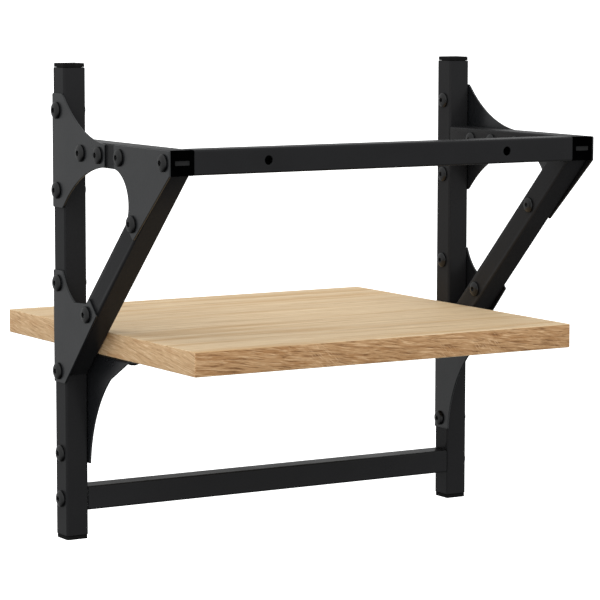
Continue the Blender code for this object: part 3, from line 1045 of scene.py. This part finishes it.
@dataclass
class Revolved:
    """A turned piece: rows of a profile carried round an axis, with shaped or threaded rows.

    A point is radius times (cos a, sin a) at a height. A row's shape share blends its radius from
    round to a drive's outline, and its thread depth takes a helical groove off the radius.
    """

    rows: list[Row]
    drive: str = "hexagon"
    pitch: float = 0.0008
    count: int = 72
    twist: float = 0.0  # turn of the drive, in degrees
    cross_taper: float = 1.45  # how fast a cross's arms narrow
    cross_reach: float = 2.6  # how far its arms run, in half widths

    def _outline(self, angle: Array) -> Array:
        """The drive's outline at each angle, with its narrowest radius 1.

        A hexagon's radius is 1 / cos(a - the nearest flat's angle). A cross's radius is its half
        width over |sin b|, b the angle from the nearest arm, held between 1 and its reach.
        """
        if self.drive == "hexagon":
            nearest = (angle + pi / 6) % (pi / 3) - pi / 6
            return 1 / np.cos(nearest)
        nearest = (angle + pi / 4) % (pi / 2) - pi / 4
        away = np.maximum(np.abs(np.sin(nearest)) * self.cross_taper, 1e-3)
        return np.clip(1.0 / away, 1.0, self.cross_reach)

    def shell(self) -> Shell:
        """The turned surface in local (across, across, axis) coordinates."""
        angle = np.linspace(0, 2 * pi, self.count, endpoint=False)
        radius, height, share, thread = (column[:, None] for column in np.array(self.rows).T)
        drive = self._outline(angle - radians(self.twist))[None, :]
        wave = np.abs(((height / self.pitch - angle[None, :] / (2 * pi)) % 1.0) * 2 - 1)
        size = radius * (1 + share * (drive - 1)) - thread * wave
        heights = np.broadcast_to(height, size.shape)
        shell = Shell()
        shell.grid(np.stack((size * np.cos(angle), size * np.sin(angle), heights), axis=-1))
        return shell


def dome_rows(radius: float, height: float, base: float, sign: int, socket: float,
              depth: float) -> list[Row]:
    """Rows of a domed head with a drive in its crown, from the drive's floor to the rim.

    The dome's height over its rim is crown times the square root of 1 - (r / radius) squared.

    Args:
        radius: The head's radius.
        height: Its height over its seat.
        base: Where the seat lies along the axis.
        sign: 1 if the head rises along the axis, -1 if it falls.
        socket: Half the drive's width across its flats.
        depth: The drive's depth.

    Returns:
        The rows.
    """
    rim = DOME_RIM * height
    crown = height - rim
    reach = np.linspace(np.arcsin(DRIVE_LIP * socket / radius), pi / 2, DOME_STEPS)
    dome = [(radius * sin(a), rim + crown * cos(a)) for a in reach]
    top, edge, dent = dome[0][1], HEAD_EDGE, DRIVE_DENT
    rows = [
        (0.0, top - depth - dent, 0.0, 0.0),
        (0.5 * socket, top - depth - dent / 2, 1.0, 0.0),
        (socket - edge, top - depth, 1.0, 0.0),
        (socket, top - depth + edge, 1.0, 0.0),
        (socket, top - 2.2 * edge, 1.0, 0.0),
        (socket + 0.3 * edge, top - 1.2 * edge, 1.0, 0.0),
        (socket + 0.9 * edge, top - 0.5 * edge, 0.9, 0.0),
    ]
    rows += [(r, h, 0.0, 0.0) for r, h in dome]
    rows += [(radius, rim - edge, 0.0, 0.0), (radius, edge, 0.0, 0.0)]
    rows += [(radius - 0.3 * edge, 0.3 * edge, 0.0, 0.0), (radius - edge, 0.0, 0.0, 0.0)]
    return [(r, base + sign * h, share, thread) for r, h, share, thread in rows]


def mark_radius(piece: bpy.types.Object, middle: Array, axis: int) -> None:
    """Stores each point's distance from a fastener's axis, which its finish reads."""
    points = np.empty(len(piece.data.vertices) * 3, np.float32)
    piece.data.vertices.foreach_get("co", points)
    offset = np.delete(points.reshape(-1, 3) - np.asarray(middle, np.float32), axis, axis=1)
    distance = np.linalg.norm(offset, axis=1).astype(np.float32)
    layer = piece.data.attributes.new("turned_radius", "FLOAT", "POINT")
    layer.data.foreach_set("value", distance)


# --- Sub-assemblies ------------------------------------------------------------------------------


@dataclass
class Board:
    """The oak board with soft edges and four pilot holes for the screws from below."""

    finishes: Finishes
    edge: float = 0.0006
    corner: float = 0.0009
    pilot: float = 0.0042
    pilot_depth: float = 0.0115
    margin: float = 0.0006

    def _screw_points(self) -> list[tuple[float, float]]:
        """The middles of the board's screws, seen from above."""
        names = sorted(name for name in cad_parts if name.startswith("board_screw"))
        return [tuple(Box.of(name).middle[:2].tolist()) for name in names]

    def build(self) -> None:
        """Makes the board: rounded rectangles from face to face, and holes ending in shallow cones."""
        box = Box.of("shelf_board")
        middle, (wide, deep, thick) = box.middle, box.size / 2
        lower = rounded_end(wide, deep, self.corner, self.edge, -thick, 1, self.margin)
        upper = rounded_end(wide, deep, self.corner, self.edge, thick, -1, self.margin)
        shell = loft(lower + upper[::-1] + [pole(thick)], support=self.margin)
        rim_wide, rim_deep, rim_corner, _ = lower[0]
        flat_margin = min(self.margin, MARGIN_SHARE * (rim_deep - rim_corner))
        rim = rounded_loop((rim_wide, rim_deep), rim_corner, 5, flat_margin)
        points = [(x - middle[0], y - middle[1]) for x, y in self._screw_points()]
        rings = [circle(point, self.pilot / 2, HOLE_SIDES) for point in points]
        shell.flat([rim] + rings, -thick)
        for ring in rings:
            centre = ring.mean(axis=0)
            depths = ((1.0, 0.0), (1.0, self.pilot_depth), (0.0, self.pilot_depth + self.pilot / 4))
            rows = [raised(centre + share * (ring - centre), -thick + deep) for share, deep in depths]
            shell.grid(np.stack(rows))
        shell.moved(middle, BAR_AXES)
        piece = shell.build("oak_board")
        self._mark_cuts(piece)
        hand_over(piece, "shelf_board", Slot.BOARD, self.finishes.oak_face, self.finishes.oak_long_edge,
                  self.finishes.oak_end)

    def _mark_cuts(self, piece: bpy.types.Object) -> None:
        """Gives each face the material number of the cut that it shows: face, long edge or end."""
        normals = np.empty(len(piece.data.polygons) * 3, np.float32)
        piece.data.polygons.foreach_get("normal", normals)
        steep = np.abs(normals.reshape(-1, 3))
        cuts = np.where(steep[:, 2] > 0.5, 0, np.where(steep[:, 1] > steep[:, 0], 1, 2))
        piece.data.polygons.foreach_set("material_index", cuts.astype(np.int32))


@dataclass
class Bars:
    """The wall bar, drilled for the wall screws, and the towel bar, with threaded blocks inside."""

    finishes: Finishes
    wall_hole: float = 0.0055
    hole_spacing: float = 0.170
    bore: float = 0.0026  # its drilled radius
    pitch: float = 0.0008
    thread_depth: float = 0.0003
    thread_rows: int = 141
    mouth_ease: float = 0.0002  # how far the bore's mouth is chamfered past the thread
    block_corner: float = 0.0008
    block_edge: float = 0.0004

    def _bar(self, node: str, drilled: list[float]) -> None:
        """Makes one bar across the shelf."""
        box = Box.of(node)
        half = box.size[0] / 2
        tube = SquareTube(Cut(-half), Cut(half), box.middle, BAR_AXES, drilled, drill=self.wall_hole)
        hand_over(tube.build(f"{node}_tube"), node, Slot.STEEL, self.finishes.tube)

    def _block(self, node: str, word: str, side: int) -> None:
        """Makes a threaded block: a rounded square outside, a bore with a helical groove inside.

        The bore's radius is its drilled radius plus the thread depth times a triangle wave of
        (place / pitch - angle / a full turn).
        """
        box = Box.of(f"{node}_{word}")
        half, length, edge = box.size[1] / 2, box.size[0] / 2, self.block_edge
        near = rounded_end(half, half, self.block_corner, edge, -length, 1)
        far = rounded_end(half, half, self.block_corner, edge, length, -1)
        mouth = self.bore + self.thread_depth + self.mouth_ease
        rims = [(mouth, mouth, mouth, place) for place in (-length, length)]
        shell = loft([rims[0], *near, *far[::-1], rims[1]], support=0.0)
        places = np.linspace(length - edge, edge - length, self.thread_rows)[:, None]
        ring = rounded_loop((1.0, 1.0), 1.0, 5, TINY)
        angle = np.arctan2(ring[:, 1], ring[:, 0])
        wave = np.abs(((places / self.pitch - angle[None, :] / (2 * pi)) % 1.0) * 2 - 1)
        size = self.bore + self.thread_depth * wave
        groove = (size * ring[:, 0], size * ring[:, 1], np.broadcast_to(places, size.shape))
        thread = np.concatenate((
            raised(mouth * ring, length)[None],
            np.stack(groove, axis=-1),
            raised(mouth * ring, -length)[None],
        ))
        shell.grid(thread)
        shell.moved(box.middle, np.array([[0, 1, 0], [0, 0, 1], [side, 0, 0]], float))
        hand_over(shell.build(f"{word}_{node.replace('insert', 'block')}"), f"{node}_{word}", Slot.INSERT,
                  self.finishes.zinc)

    def build(self) -> None:
        """Makes both bars and their four threaded blocks."""
        self._bar("wall_bar", [side * self.hole_spacing / 2 for side in SIDES.values()])
        self._bar("towel_bar", [])
        for word, side in SIDES.items():
            for node in ("wall_bar_insert", "towel_bar_insert"):
                self._block(node, word, side)


@dataclass
class BracketTubes:
    """One bracket's post, arm and brace."""

    finishes: Finishes
    word: str
    side: int

    def _dress(self, piece: bpy.types.Object, node: str) -> None:
        """Hands a tube over with the tubes' powder coat."""
        hand_over(piece, node, Slot.STEEL, self.finishes.tube)

    def post(self) -> None:
        """The upright tube."""
        node = f"post_{self.word}"
        box = Box.of(node)
        drilled = [up for _, up in bolts_through(node, self.word)]
        origin = np.array([box.middle[0], box.middle[1], 0.0])
        tube = SquareTube(Cut(box.low[2]), Cut(box.high[2]), origin, POST_AXES, drilled)
        self._dress(tube.build(f"{self.word}_post"), node)

    def arm(self) -> None:
        """The level tube from the wall to the post."""
        node = f"arm_{self.word}"
        box = Box.of(node)
        drilled = [out for out, _ in bolts_through(node, self.word)]
        origin = np.array([box.middle[0], 0.0, box.middle[2]])
        tube = SquareTube(Cut(-box.high[1]), Cut(-box.low[1]), origin, ARM_AXES, drilled)
        self._dress(tube.build(f"{self.word}_arm"), node)

    def brace(self) -> None:
        """The tube at 45 degrees, cut level under the arm and upright against the post.

        Along the brace, out is (along + third) / root 2 and the drop is (along - third) / root 2,
        so the level cut is along = third + a number and the upright cut along = a number - third.
        """
        node = f"brace_{self.word}"
        box = Box.of(node)
        half_width = SquareTube.side / 2 * sqrt(2)
        top, far = box.high[2], -box.low[1]
        head_out = -box.high[1] + half_width
        axis_sum = head_out + top
        start = Cut(sqrt(2) * (axis_sum - top), 1.0)
        end = Cut(sqrt(2) * far, -1.0)
        origin = np.array([box.middle[0], 0.0, axis_sum])
        drilled = [
            (out + axis_sum - up) * sqrt(0.5)
            for out, up in bolts_through(node, self.word)
            if abs(out + up - axis_sum) < half_width
        ]
        tube = SquareTube(start, end, origin, BRACE_AXES, drilled)
        self._dress(tube.build(f"{self.word}_brace"), node)

    def build(self) -> None:
        """Makes all three tubes."""
        self.post()
        self.arm()
        self.brace()


@dataclass
class BracketPlates:
    """One bracket's three outer plates and the folded shelf bracket inside the post."""

    finishes: Finishes
    word: str
    side: int
    strip: float = 0.007  # half the height of the upper gusset's strip on the arm
    post_edge: float = 0.1376  # where the plates' strips on the post begin
    bend_radius: float = 0.0012  # of the fold's middle surface
    toe: float = 0.0016  # height left upright under the fold at the bracket's wall end
    bracket_drill: float = 0.0046
    gusset_curve: Curve = ((0.0762, 0.0865), 0.0797, -40.2, -86.5)
    wall_curve: Curve = ((0.0718, -0.0279), 0.0211, 98, 206)
    wall_inner: tuple[float, float] = (0.0544, -0.0390)  # the wall plate's corners on the brace
    wall_outer_out: float = 0.0452
    wall_outer_up: float = -0.0076
    foot_curve: Curve = ((0.1075, -0.0631), 0.0325, -19.6, -63)
    foot_inner: tuple[float, float] = (0.1065, -0.0913)  # the lower gusset's corners on the brace
    foot_tip: tuple[float, float] = (0.10295, -0.08755)
    foot_outer_up: float = -0.0975
    foot_heel_out: float = 0.1361
    bracket_curve: Curve = ((0.0525, -0.2015), 0.083, 5.0, 48.5)
    arc_steps: int = 36

    def _upper_gusset(self, box: Box) -> Array:
        """A strip on the post and a strip on the arm, joined above and below by a concave arc."""
        near, far, top = -box.high[1], -box.low[1], box.high[2]
        upper = arc(*self.gusset_curve, self.arc_steps)[1:-1]
        lower = (upper * (1, -1))[::-1]
        head = [[far, top], [self.post_edge, top]]
        tip = [[near, self.strip], [near, -self.strip]]
        foot = [[self.post_edge, -top], [far, -top]]
        return np.concatenate((head, upper, tip, lower, foot))

    def _wall_plate(self, box: Box) -> Array:
        """A strip on the arm and a strip on the brace, joined by one concave arc."""
        near, far, top, bottom = -box.high[1], -box.low[1], box.high[2], box.low[2]
        window = arc(*self.wall_curve, self.arc_steps)
        foot = [self.wall_inner, [self.wall_outer_out, bottom], [near, self.wall_outer_up]]
        return np.concatenate(([[near, top], [far, top]], window, foot))

    def _lower_gusset(self, box: Box) -> Array:
        """A strip on the post and a strip on the foot of the brace."""
        near, far, top, bottom = -box.high[1], -box.low[1], box.high[2], box.low[2]
        window = arc(*self.foot_curve, self.arc_steps)
        tip = [self.foot_inner, self.foot_tip, [near, self.foot_outer_up]]
        heel = [[self.foot_heel_out, bottom], [far, bottom]]
        return np.concatenate(([[far, top]], window, tip, heel))

    def _outer_plate(self, node: str, outline: Array, box: Box) -> None:
        """Makes one flat plate on the bracket's outer side."""
        plate = SheetPlate(outline, bolts_through(f"{node}_{self.word}", self.word))
        shell = plate.shell()
        shell.moved(np.array([box.middle[0], 0.0, 0.0]), SIDE_AXES)
        piece = shell.build(f"{self.word}_{node}_steel")
        hand_over(piece, f"{node}_{self.word}", Slot.STEEL, self.finishes.plate)

    def _shelf_bracket(self) -> None:
        """Makes the bracket under the board: a flat plate with its top folded in under the board."""
        node = f"shelf_bracket_{self.word}"
        box = Box.of(node)
        thickness, bend_radius = SheetPlate.thickness, self.bend_radius
        web = max(abs(box.low[0]), abs(box.high[0])) - thickness / 2
        inner = min(abs(box.low[0]), abs(box.high[0]))
        near, far, top, bottom = -box.high[1], -box.low[1], box.high[2], box.low[2]
        bend = Bend(top - thickness / 2 - bend_radius, bend_radius, web, self.side)
        flange = bend.line + bend.length
        blank_top = flange + web - bend_radius - inner
        under = arc(*self.bracket_curve, self.arc_steps)
        strip = [[far, blank_top], [far, bottom], [under[0, 0], bottom]]
        outline = np.concatenate((strip, under, [[near, top - self.toe], [near, blank_top]]))
        screws = [Box.of(f"board_screw_{place}_{self.word}").middle for place in ("near", "far")]
        bolts = bolts_through(node, self.word)
        holes = [(-screw[1], flange + web - bend_radius - abs(screw[0])) for screw in screws]
        plate = SheetPlate(outline, bolts + holes, drill=self.bracket_drill)
        piece = folded(plate.shell(), bend, f"{self.word}_shelf_bracket_steel")
        hand_over(piece, node, Slot.STEEL, self.finishes.plate)

    def build(self) -> None:
        """Makes all four plates."""
        outlines = {"upper_gusset": self._upper_gusset, "wall_plate": self._wall_plate,
                    "lower_gusset": self._lower_gusset}
        for node, outline in outlines.items():
            box = Box.of(f"{node}_{self.word}")
            self._outer_plate(node, outline(box), box)
        self._shelf_bracket()


@dataclass
class EndPieces:
    """One bracket's moulded post caps and the plug in the arm's wall end."""

    finishes: Finishes
    word: str
    side: int
    flange: float = 0.0025
    cap_half: float = 0.0072
    stem_half: float = 0.0062
    pocket_half: float = 0.0045
    edge: float = 0.0005
    corner: float = 0.0011
    fins: int = 4  # thin rings on the stem that grip the tube
    fin_depth: float = 0.0004
    fin_corner: float = 0.0007
    stem_corner: float = 0.0006
    cap_ease: float = 0.0002  # chamfer under the head, and taper of the pocket
    pocket_floor: float = 0.001
    plug_head: float = 0.002
    plug_corner: float = 0.0009
    plug_edge: float = 0.0003
    plug_ease: float = 0.0001  # chamfer under the plug's head
    blade: float = 0.0021  # thickness of a plug's fin
    slot_wide: float = 0.005  # half its width
    slot_high: float = 0.0015  # half its height
    slot_depth: float = 0.0008
    slot_lip: float = 0.0001
    slot_corner: float = 0.0005

    @staticmethod
    def _square(half: float, corner: float, place: float) -> Station:
        """A loft station with equal sides."""
        return (half, half, corner, place)

    def _cap(self, end: str) -> None:
        """Makes a cap: a flat head over a hollow stem ringed by thin fins."""
        node = f"post_cap_{end}_{self.word}"
        box = Box.of(node)
        up = 1 if end == "top" else -1
        length = box.size[2]
        ease, bed = self.cap_ease, -self.flange
        floor = bed - self.pocket_floor
        stations = [pole(0.0)]
        stations += rounded_end(self.cap_half, self.cap_half, self.corner, self.edge, 0.0, -1)
        stations += [
            self._square(self.cap_half, self.corner, bed + ease),
            self._square(self.cap_half - ease, self.corner, bed),
            self._square(self.stem_half - self.fin_depth, self.stem_corner, bed),
        ]
        pitch = (length - self.flange) / self.fins
        for fin in range(self.fins):
            start = bed - fin * pitch
            stations += [
                self._square(self.stem_half - self.fin_depth, self.stem_corner, start - 0.45 * pitch),
                self._square(self.stem_half, self.fin_corner, start - 0.6 * pitch),
                self._square(self.stem_half, self.fin_corner, start - 0.75 * pitch),
                self._square(self.stem_half - self.fin_depth, self.stem_corner, start - pitch),
            ]
        stations += [
            self._square(self.pocket_half, self.stem_corner, -length),
            self._square(self.pocket_half - ease, self.stem_corner, floor),
            pole(floor),
        ]
        shell = loft(stations)
        face = box.high[2] if up > 0 else box.low[2]
        shell.moved(np.array([box.middle[0], box.middle[1], face]), np.diag([1.0, 1.0, up]))
        hand_over(shell.build(f"{self.word}_post_cap_{end}"), node, Slot.PLASTIC, self.finishes.cap)

    def _plug(self) -> None:
        """Makes the arm's plug: a flat head with a narrow slot, and two fins inside the tube. The slot's
        floor gets a lighter grey, a painted highlight for the light line along the slot.
        """
        node = f"arm_plug_{self.word}"
        box = Box.of(node)
        half, head, depth, lip = box.size[0] / 2, self.plug_head, self.slot_depth, self.slot_lip
        wide, high, corner = self.slot_wide, self.slot_high, self.slot_corner
        stations = [
            pole(-depth),
            (wide - lip, high - lip, corner - lip, -depth),
            (wide, high, corner, -depth + lip),
            (wide, high, corner, -lip),
            (wide + lip, high + lip, corner, 0.0),
        ]
        stations += rounded_end(half, half, self.plug_corner, self.plug_edge, 0.0, -1)
        stations += [
            self._square(half, self.plug_corner, self.plug_ease - head),
            self._square(half - self.plug_ease, self.plug_corner, -head),
            pole(-head),
        ]
        origin = np.array([box.middle[0], box.high[1], box.middle[2]])
        axes = np.array([[1, 0, 0], [0, 0, 1], [0, 1, 0]], float)
        shell = loft(stations)
        shell.moved(origin, axes)
        piece = shell.build(f"{self.word}_arm_plug")
        fins = []
        root, tip = self.plug_edge - head, -box.size[1]
        wide, thick, edge = self.stem_half, self.blade / 2, self.plug_edge
        for level in (1, -1):
            rounding = rounded_end(wide, thick, edge, edge, tip, 1)[::-1]
            blade = loft([pole(root), (wide, thick, edge, root), *rounding, pole(tip)])
            blade.moved(origin + np.array([0, 0, level * (wide - thick)]), axes)
            fins.append(blade.build(f"{self.word}_plug_fin_{level}"))
        piece = united(piece, fins)
        centres = np.empty(len(piece.data.polygons) * 3, np.float32)
        piece.data.polygons.foreach_get("center", centres)
        offset = np.abs(centres.reshape(-1, 3) - origin)
        # The faces of the slot's floor take the lighter grey, a painted highlight.
        floor = (offset[:, 1] > depth * 0.97) & (offset[:, 1] < depth * 1.03)
        floor &= (offset[:, 0] < self.slot_wide) & (offset[:, 2] < self.slot_high)
        hand_over(piece, node, Slot.PLASTIC, self.finishes.plug, self.finishes.slot_painted_highlight)
        piece.data.polygons.foreach_set("material_index", floor.astype(np.int32))

    def build(self) -> None:
        """Makes both caps and the plug."""
        self._cap("top")
        self._cap("bottom")
        self._plug()


@dataclass
class Fasteners:
    """One bracket's bolts and the screws into the board."""

    finishes: Finishes
    word: str
    side: int
    head_radius: float = 0.00525
    head_height: float = 0.0024
    nut_radius: float = 0.0048
    nut_height: float = 0.0021
    shank: float = 0.0025
    hexagon: float = 0.0015
    hexagon_depth: float = 0.0012
    screw_radius: float = 0.004
    screw_height: float = 0.0022
    screw_shank: float = 0.00175
    shank_ease: float = 0.0002  # chamfer where a shank meets its head
    plain_shank: float = 0.006  # the part of a bar bolt's shank without thread
    bolt_thread: float = 0.00028  # depth of the thread
    bolt_thread_rows: int = 90
    bolt_point: float = 0.0006
    nut_socket: float = 0.85  # the nut's socket against the head's
    cross: float = 0.0007
    cross_depth: float = 0.001
    screw_pitch: float = 0.0012
    screw_thread: float = 0.0004
    screw_thread_rows: int = 70
    screw_point: float = 0.0025  # the length without thread
    screw_tip: float = 0.0008  # the last cone's length
    screw_tip_share: float = 0.4  # its radius against the shank's
    twist_step: int = 37  # degrees from one drive to the next
    right_twist: int = 11  # degrees by which the right bracket's drives are turned further

    def _twist(self, number: int) -> float:
        """How far a drive is turned, in degrees: each fastener stopped where it came tight."""
        start = self.right_twist if self.side > 0 else 0
        return (number * self.twist_step + start) % 60

    def _bolt(self, node: str, number: int) -> None:
        """Makes a bolt: a domed head, then a barrel with a second domed head or a threaded tip."""
        box = Box.of(node)
        outer = max(abs(box.low[0]), abs(box.high[0]))
        inner = min(abs(box.low[0]), abs(box.high[0]))
        seat, ease, point = outer - self.head_height, self.shank_ease, self.bolt_point
        rows = dome_rows(self.head_radius, self.head_height, seat, 1, self.hexagon, self.hexagon_depth)
        rows += [(self.shank + ease, seat, 0.0, 0.0), (self.shank, seat - ease, 0.0, 0.0)]
        if "bar_bolt" in node:
            thread = np.linspace(seat - self.plain_shank, inner + point, self.bolt_thread_rows)
            rows += [(self.shank, place, 0.0, self.bolt_thread) for place in thread]
            rows += [(self.shank - point, inner, 0.0, 0.0), (0.0, inner, 0.0, 0.0)]
        else:
            end = inner + self.nut_height
            socket = self.hexagon * self.nut_socket
            nut = dome_rows(self.nut_radius, self.nut_height, end, -1, socket, self.hexagon_depth)
            rows += [(self.shank, end + ease, 0.0, 0.0), (self.shank + ease, end, 0.0, 0.0), *nut[::-1]]
        shell = Revolved(rows, twist=self._twist(number)).shell()
        shell.moved(box.middle * (0, 1, 1), np.array([[0, 1, 0], [0, 0, 1], [self.side, 0, 0]], float))
        piece = shell.build(f"{self.word}_{node.removesuffix('_' + self.word)}")
        mark_radius(piece, box.middle, 0)
        hand_over(piece, node, Slot.FASTENER, self.finishes.fastener)

    def _screw(self, node: str, number: int) -> None:
        """Makes a board screw: a low dome with a cross drive, and a threaded shank with a point."""
        box = Box.of(node)
        seat, tip = box.low[2] + self.screw_height, box.high[2]
        rows = dome_rows(self.screw_radius, self.screw_height, seat, -1, self.cross, self.cross_depth)
        rows += [(self.screw_shank, seat, 0.0, 0.0)]
        end = tip - self.screw_point
        thread = np.linspace(seat + self.screw_pitch, end, self.screw_thread_rows)
        rows += [(self.screw_shank, place, 0.0, self.screw_thread) for place in thread]
        cone = self.screw_shank * self.screw_tip_share
        rows += [(cone, tip - self.screw_tip, 0.0, 0.0), (0.0, tip, 0.0, 0.0)]
        twist = self._twist(number)
        shell = Revolved(rows, drive="cross", pitch=self.screw_pitch, twist=twist).shell()
        shell.moved(box.middle * (1, 1, 0), np.eye(3))
        piece = shell.build(f"{self.word}_{node.removesuffix('_' + self.word)}")
        mark_radius(piece, box.middle, 2)
        hand_over(piece, node, Slot.FASTENER, self.finishes.fastener)

    def build(self) -> None:
        """Makes every bolt and screw of the bracket."""
        for number, node in enumerate(bolt_nodes(self.word)):
            self._bolt(node, number)
        for number, place in enumerate(("near", "far")):
            self._screw(f"board_screw_{place}_{self.word}", number)


# --- Stage, lights and camera --------------------------------------------------------------------


@dataclass
class Studio:
    """A pale round stage, a soft dome of light that darkens below, and one large softbox."""

    stage_drop: float = 0.35  # from the shelf's lowest point to the floor
    stage_radius: float = 5.0
    stage_curve: float = 2.5
    stage_wall: float = 6.0
    below: tuple[float, float] = (-0.85, 0.06)  # direction's height and light of the dome's dark foot
    level: tuple[float, float] = (-0.25, 0.70)
    above: tuple[float, float] = (0.75, 1.02)
    lean: float = 0.4  # how much brighter the dome is on its bright side
    bright_side: tuple[float, float, float] = (0.6, 0.8, 0.0)
    sky: tuple[float, float, float, float] = (0.985, 0.995, 1.0, 1.0)
    stage_glow: float = 0.75
    key_place: tuple[float, float, float] = (2.2, 0.9, 3.2)
    key_power: float = 40.0
    key_size: float = 2.4

    def stage(self) -> None:
        """Makes the floor, which curves up all round: a profile of (radius, height) about the Z axis."""
        floor = CAD_BOX[0][2] - self.stage_drop
        curve = arc((self.stage_radius, self.stage_curve), self.stage_curve, -90, 0, 16)
        wall = self.stage_radius + self.stage_curve
        profile = np.concatenate(([[0.0, 0.0]], curve, [[wall, self.stage_wall]]))
        angle = np.linspace(0, 2 * pi, 96, endpoint=False)
        turn = np.column_stack((np.cos(angle), np.sin(angle)))
        shell = Shell()
        shell.grid(np.stack([raised(radius * turn, floor + height) for radius, height in profile]))
        piece = shell.build("pale_stage")
        graph = Graph("pale_stage_paint")
        speck = graph.noise(graph.source, 40.0, detail=3)
        colour = graph.mix(speck, paint(236, 236, 235), paint(242, 242, 241))
        piece.data.materials.append(graph.dress(
            Base_Color=colour,
            Roughness=0.9,
            Emission_Color=(1, 1, 1, 1),
            Emission_Strength=self.stage_glow,
            Specular_IOR_Level=0.0,
        ))
        piece.visible_diffuse = piece.visible_glossy = piece.visible_shadow = False

    def dome(self) -> None:
        """Makes the world, whose light rises with the height of the direction it comes from.

        It rises from below to level and from level to above, each by a smooth step of the height,
        and the whole is multiplied by one plus lean times the dot product of the direction and
        the bright side.
        """
        world = bpy.data.worlds.new("soft_dome")
        bpy.context.scene.world = world
        world.use_nodes = True
        nodes, links = world.node_tree.nodes, world.node_tree.links
        direction = nodes.new("ShaderNodeTexCoord").outputs["Generated"]
        split = nodes.new("ShaderNodeSeparateXYZ")
        links.new(direction, split.inputs[0])
        steps = []
        for (low, dark), (high, light) in ((self.below, self.level), (self.level, self.above)):
            step = nodes.new("ShaderNodeMapRange")
            step.interpolation_type = "SMOOTHSTEP"
            links.new(split.outputs["Z"], step.inputs["Value"])
            ends = {"From Min": low, "From Max": high, "To Min": 0.0, "To Max": light - dark}
            for name, value in ends.items():
                step.inputs[name].default_value = value
            steps.append(step.outputs["Result"])
        rise = nodes.new("ShaderNodeMath")
        links.new(steps[0], rise.inputs[0])
        links.new(steps[1], rise.inputs[1])
        light = nodes.new("ShaderNodeMath")
        links.new(rise.outputs[0], light.inputs[0])
        light.inputs[1].default_value = self.below[1]
        towards = nodes.new("ShaderNodeVectorMath")
        towards.operation = "DOT_PRODUCT"
        links.new(direction, towards.inputs[0])
        towards.inputs[1].default_value = self.bright_side
        lean = nodes.new("ShaderNodeMath")
        lean.operation = "MULTIPLY_ADD"
        links.new(towards.outputs["Value"], lean.inputs[0])
        lean.inputs[1].default_value, lean.inputs[2].default_value = self.lean, 1.0
        total = nodes.new("ShaderNodeMath")
        total.operation = "MULTIPLY"
        links.new(light.outputs[0], total.inputs[0])
        links.new(lean.outputs[0], total.inputs[1])
        background = nodes["Background"]
        background.inputs["Color"].default_value = self.sky
        links.new(total.outputs[0], background.inputs["Strength"])

    def softbox(self, name: str, place: tuple[float, float, float], power: float, size: float) -> None:
        """Adds a square area light that faces the shelf's middle."""
        lamp = bpy.data.lights.new(name, "AREA")
        lamp.energy, lamp.size = power, size
        light = bpy.data.objects.new(name, lamp)
        middle = (CAD_BOX[0] + CAD_BOX[1]) / 2
        light.location = place
        light.rotation_mode = "QUATERNION"
        light.rotation_quaternion = (middle - Vector(place)).to_track_quat("-Z", "Y")
        light.visible_glossy = False
        bpy.context.scene.collection.objects.link(light)

    def build(self) -> None:
        """Makes the stage, the dome and the softbox."""
        self.stage()
        self.dome()
        self.softbox("key_softbox", self.key_place, self.key_power, self.key_size)
        bpy.context.scene.view_settings.view_transform = "Standard"


@dataclass
class ViewPoint:
    """The camera: from the wall side, a little above, turned to the shelf's left."""

    place: tuple[float, float, float] = (0.94485, 1.45719, 0.11110)
    turn: float = 31.161  # degrees from looking straight at the wall side
    tilt: float = 6.519  # degrees below level
    roll: float = 0.094
    focal: float = 173.82  # millimetres
    sensor: float = 36.0  # millimetres
    sight: float = 60.0  # how far the camera sees

    def build(self) -> None:
        """Makes the camera: its axes are the level axes turned, tilted and rolled."""
        lens = bpy.data.cameras.new("viewpoint")
        lens.lens, lens.sensor_width = self.focal, self.sensor
        lens.clip_end = self.sight
        camera = bpy.data.objects.new("viewpoint", lens)
        bpy.context.scene.collection.objects.link(camera)
        turn, tilt = radians(self.turn), radians(self.tilt)
        ahead = Vector((-sin(turn) * cos(tilt), -cos(turn) * cos(tilt), -sin(tilt)))
        right = Vector((-cos(turn), sin(turn), 0.0))
        up = right.cross(ahead)
        axes = Matrix((right, up, -ahead)).transposed() @ Matrix.Rotation(radians(self.roll), 3, "Z")
        camera.matrix_world = Matrix.Translation(self.place) @ axes.to_4x4()
        bpy.context.scene.camera = camera


def main() -> None:
    """Builds the shelf, its stage and its lights."""
    logging.basicConfig(level=logging.INFO, format="%(name)s: %(message)s")
    ViewPoint().build()
    Studio().build()
    finishes = Finishes()
    Board(finishes).build()
    Bars(finishes).build()
    for word, side in SIDES.items():
        for assembly in (BracketTubes, BracketPlates, EndPieces, Fasteners):
            assembly(finishes, word, side).build()


if __name__ == "__main__":
    main()
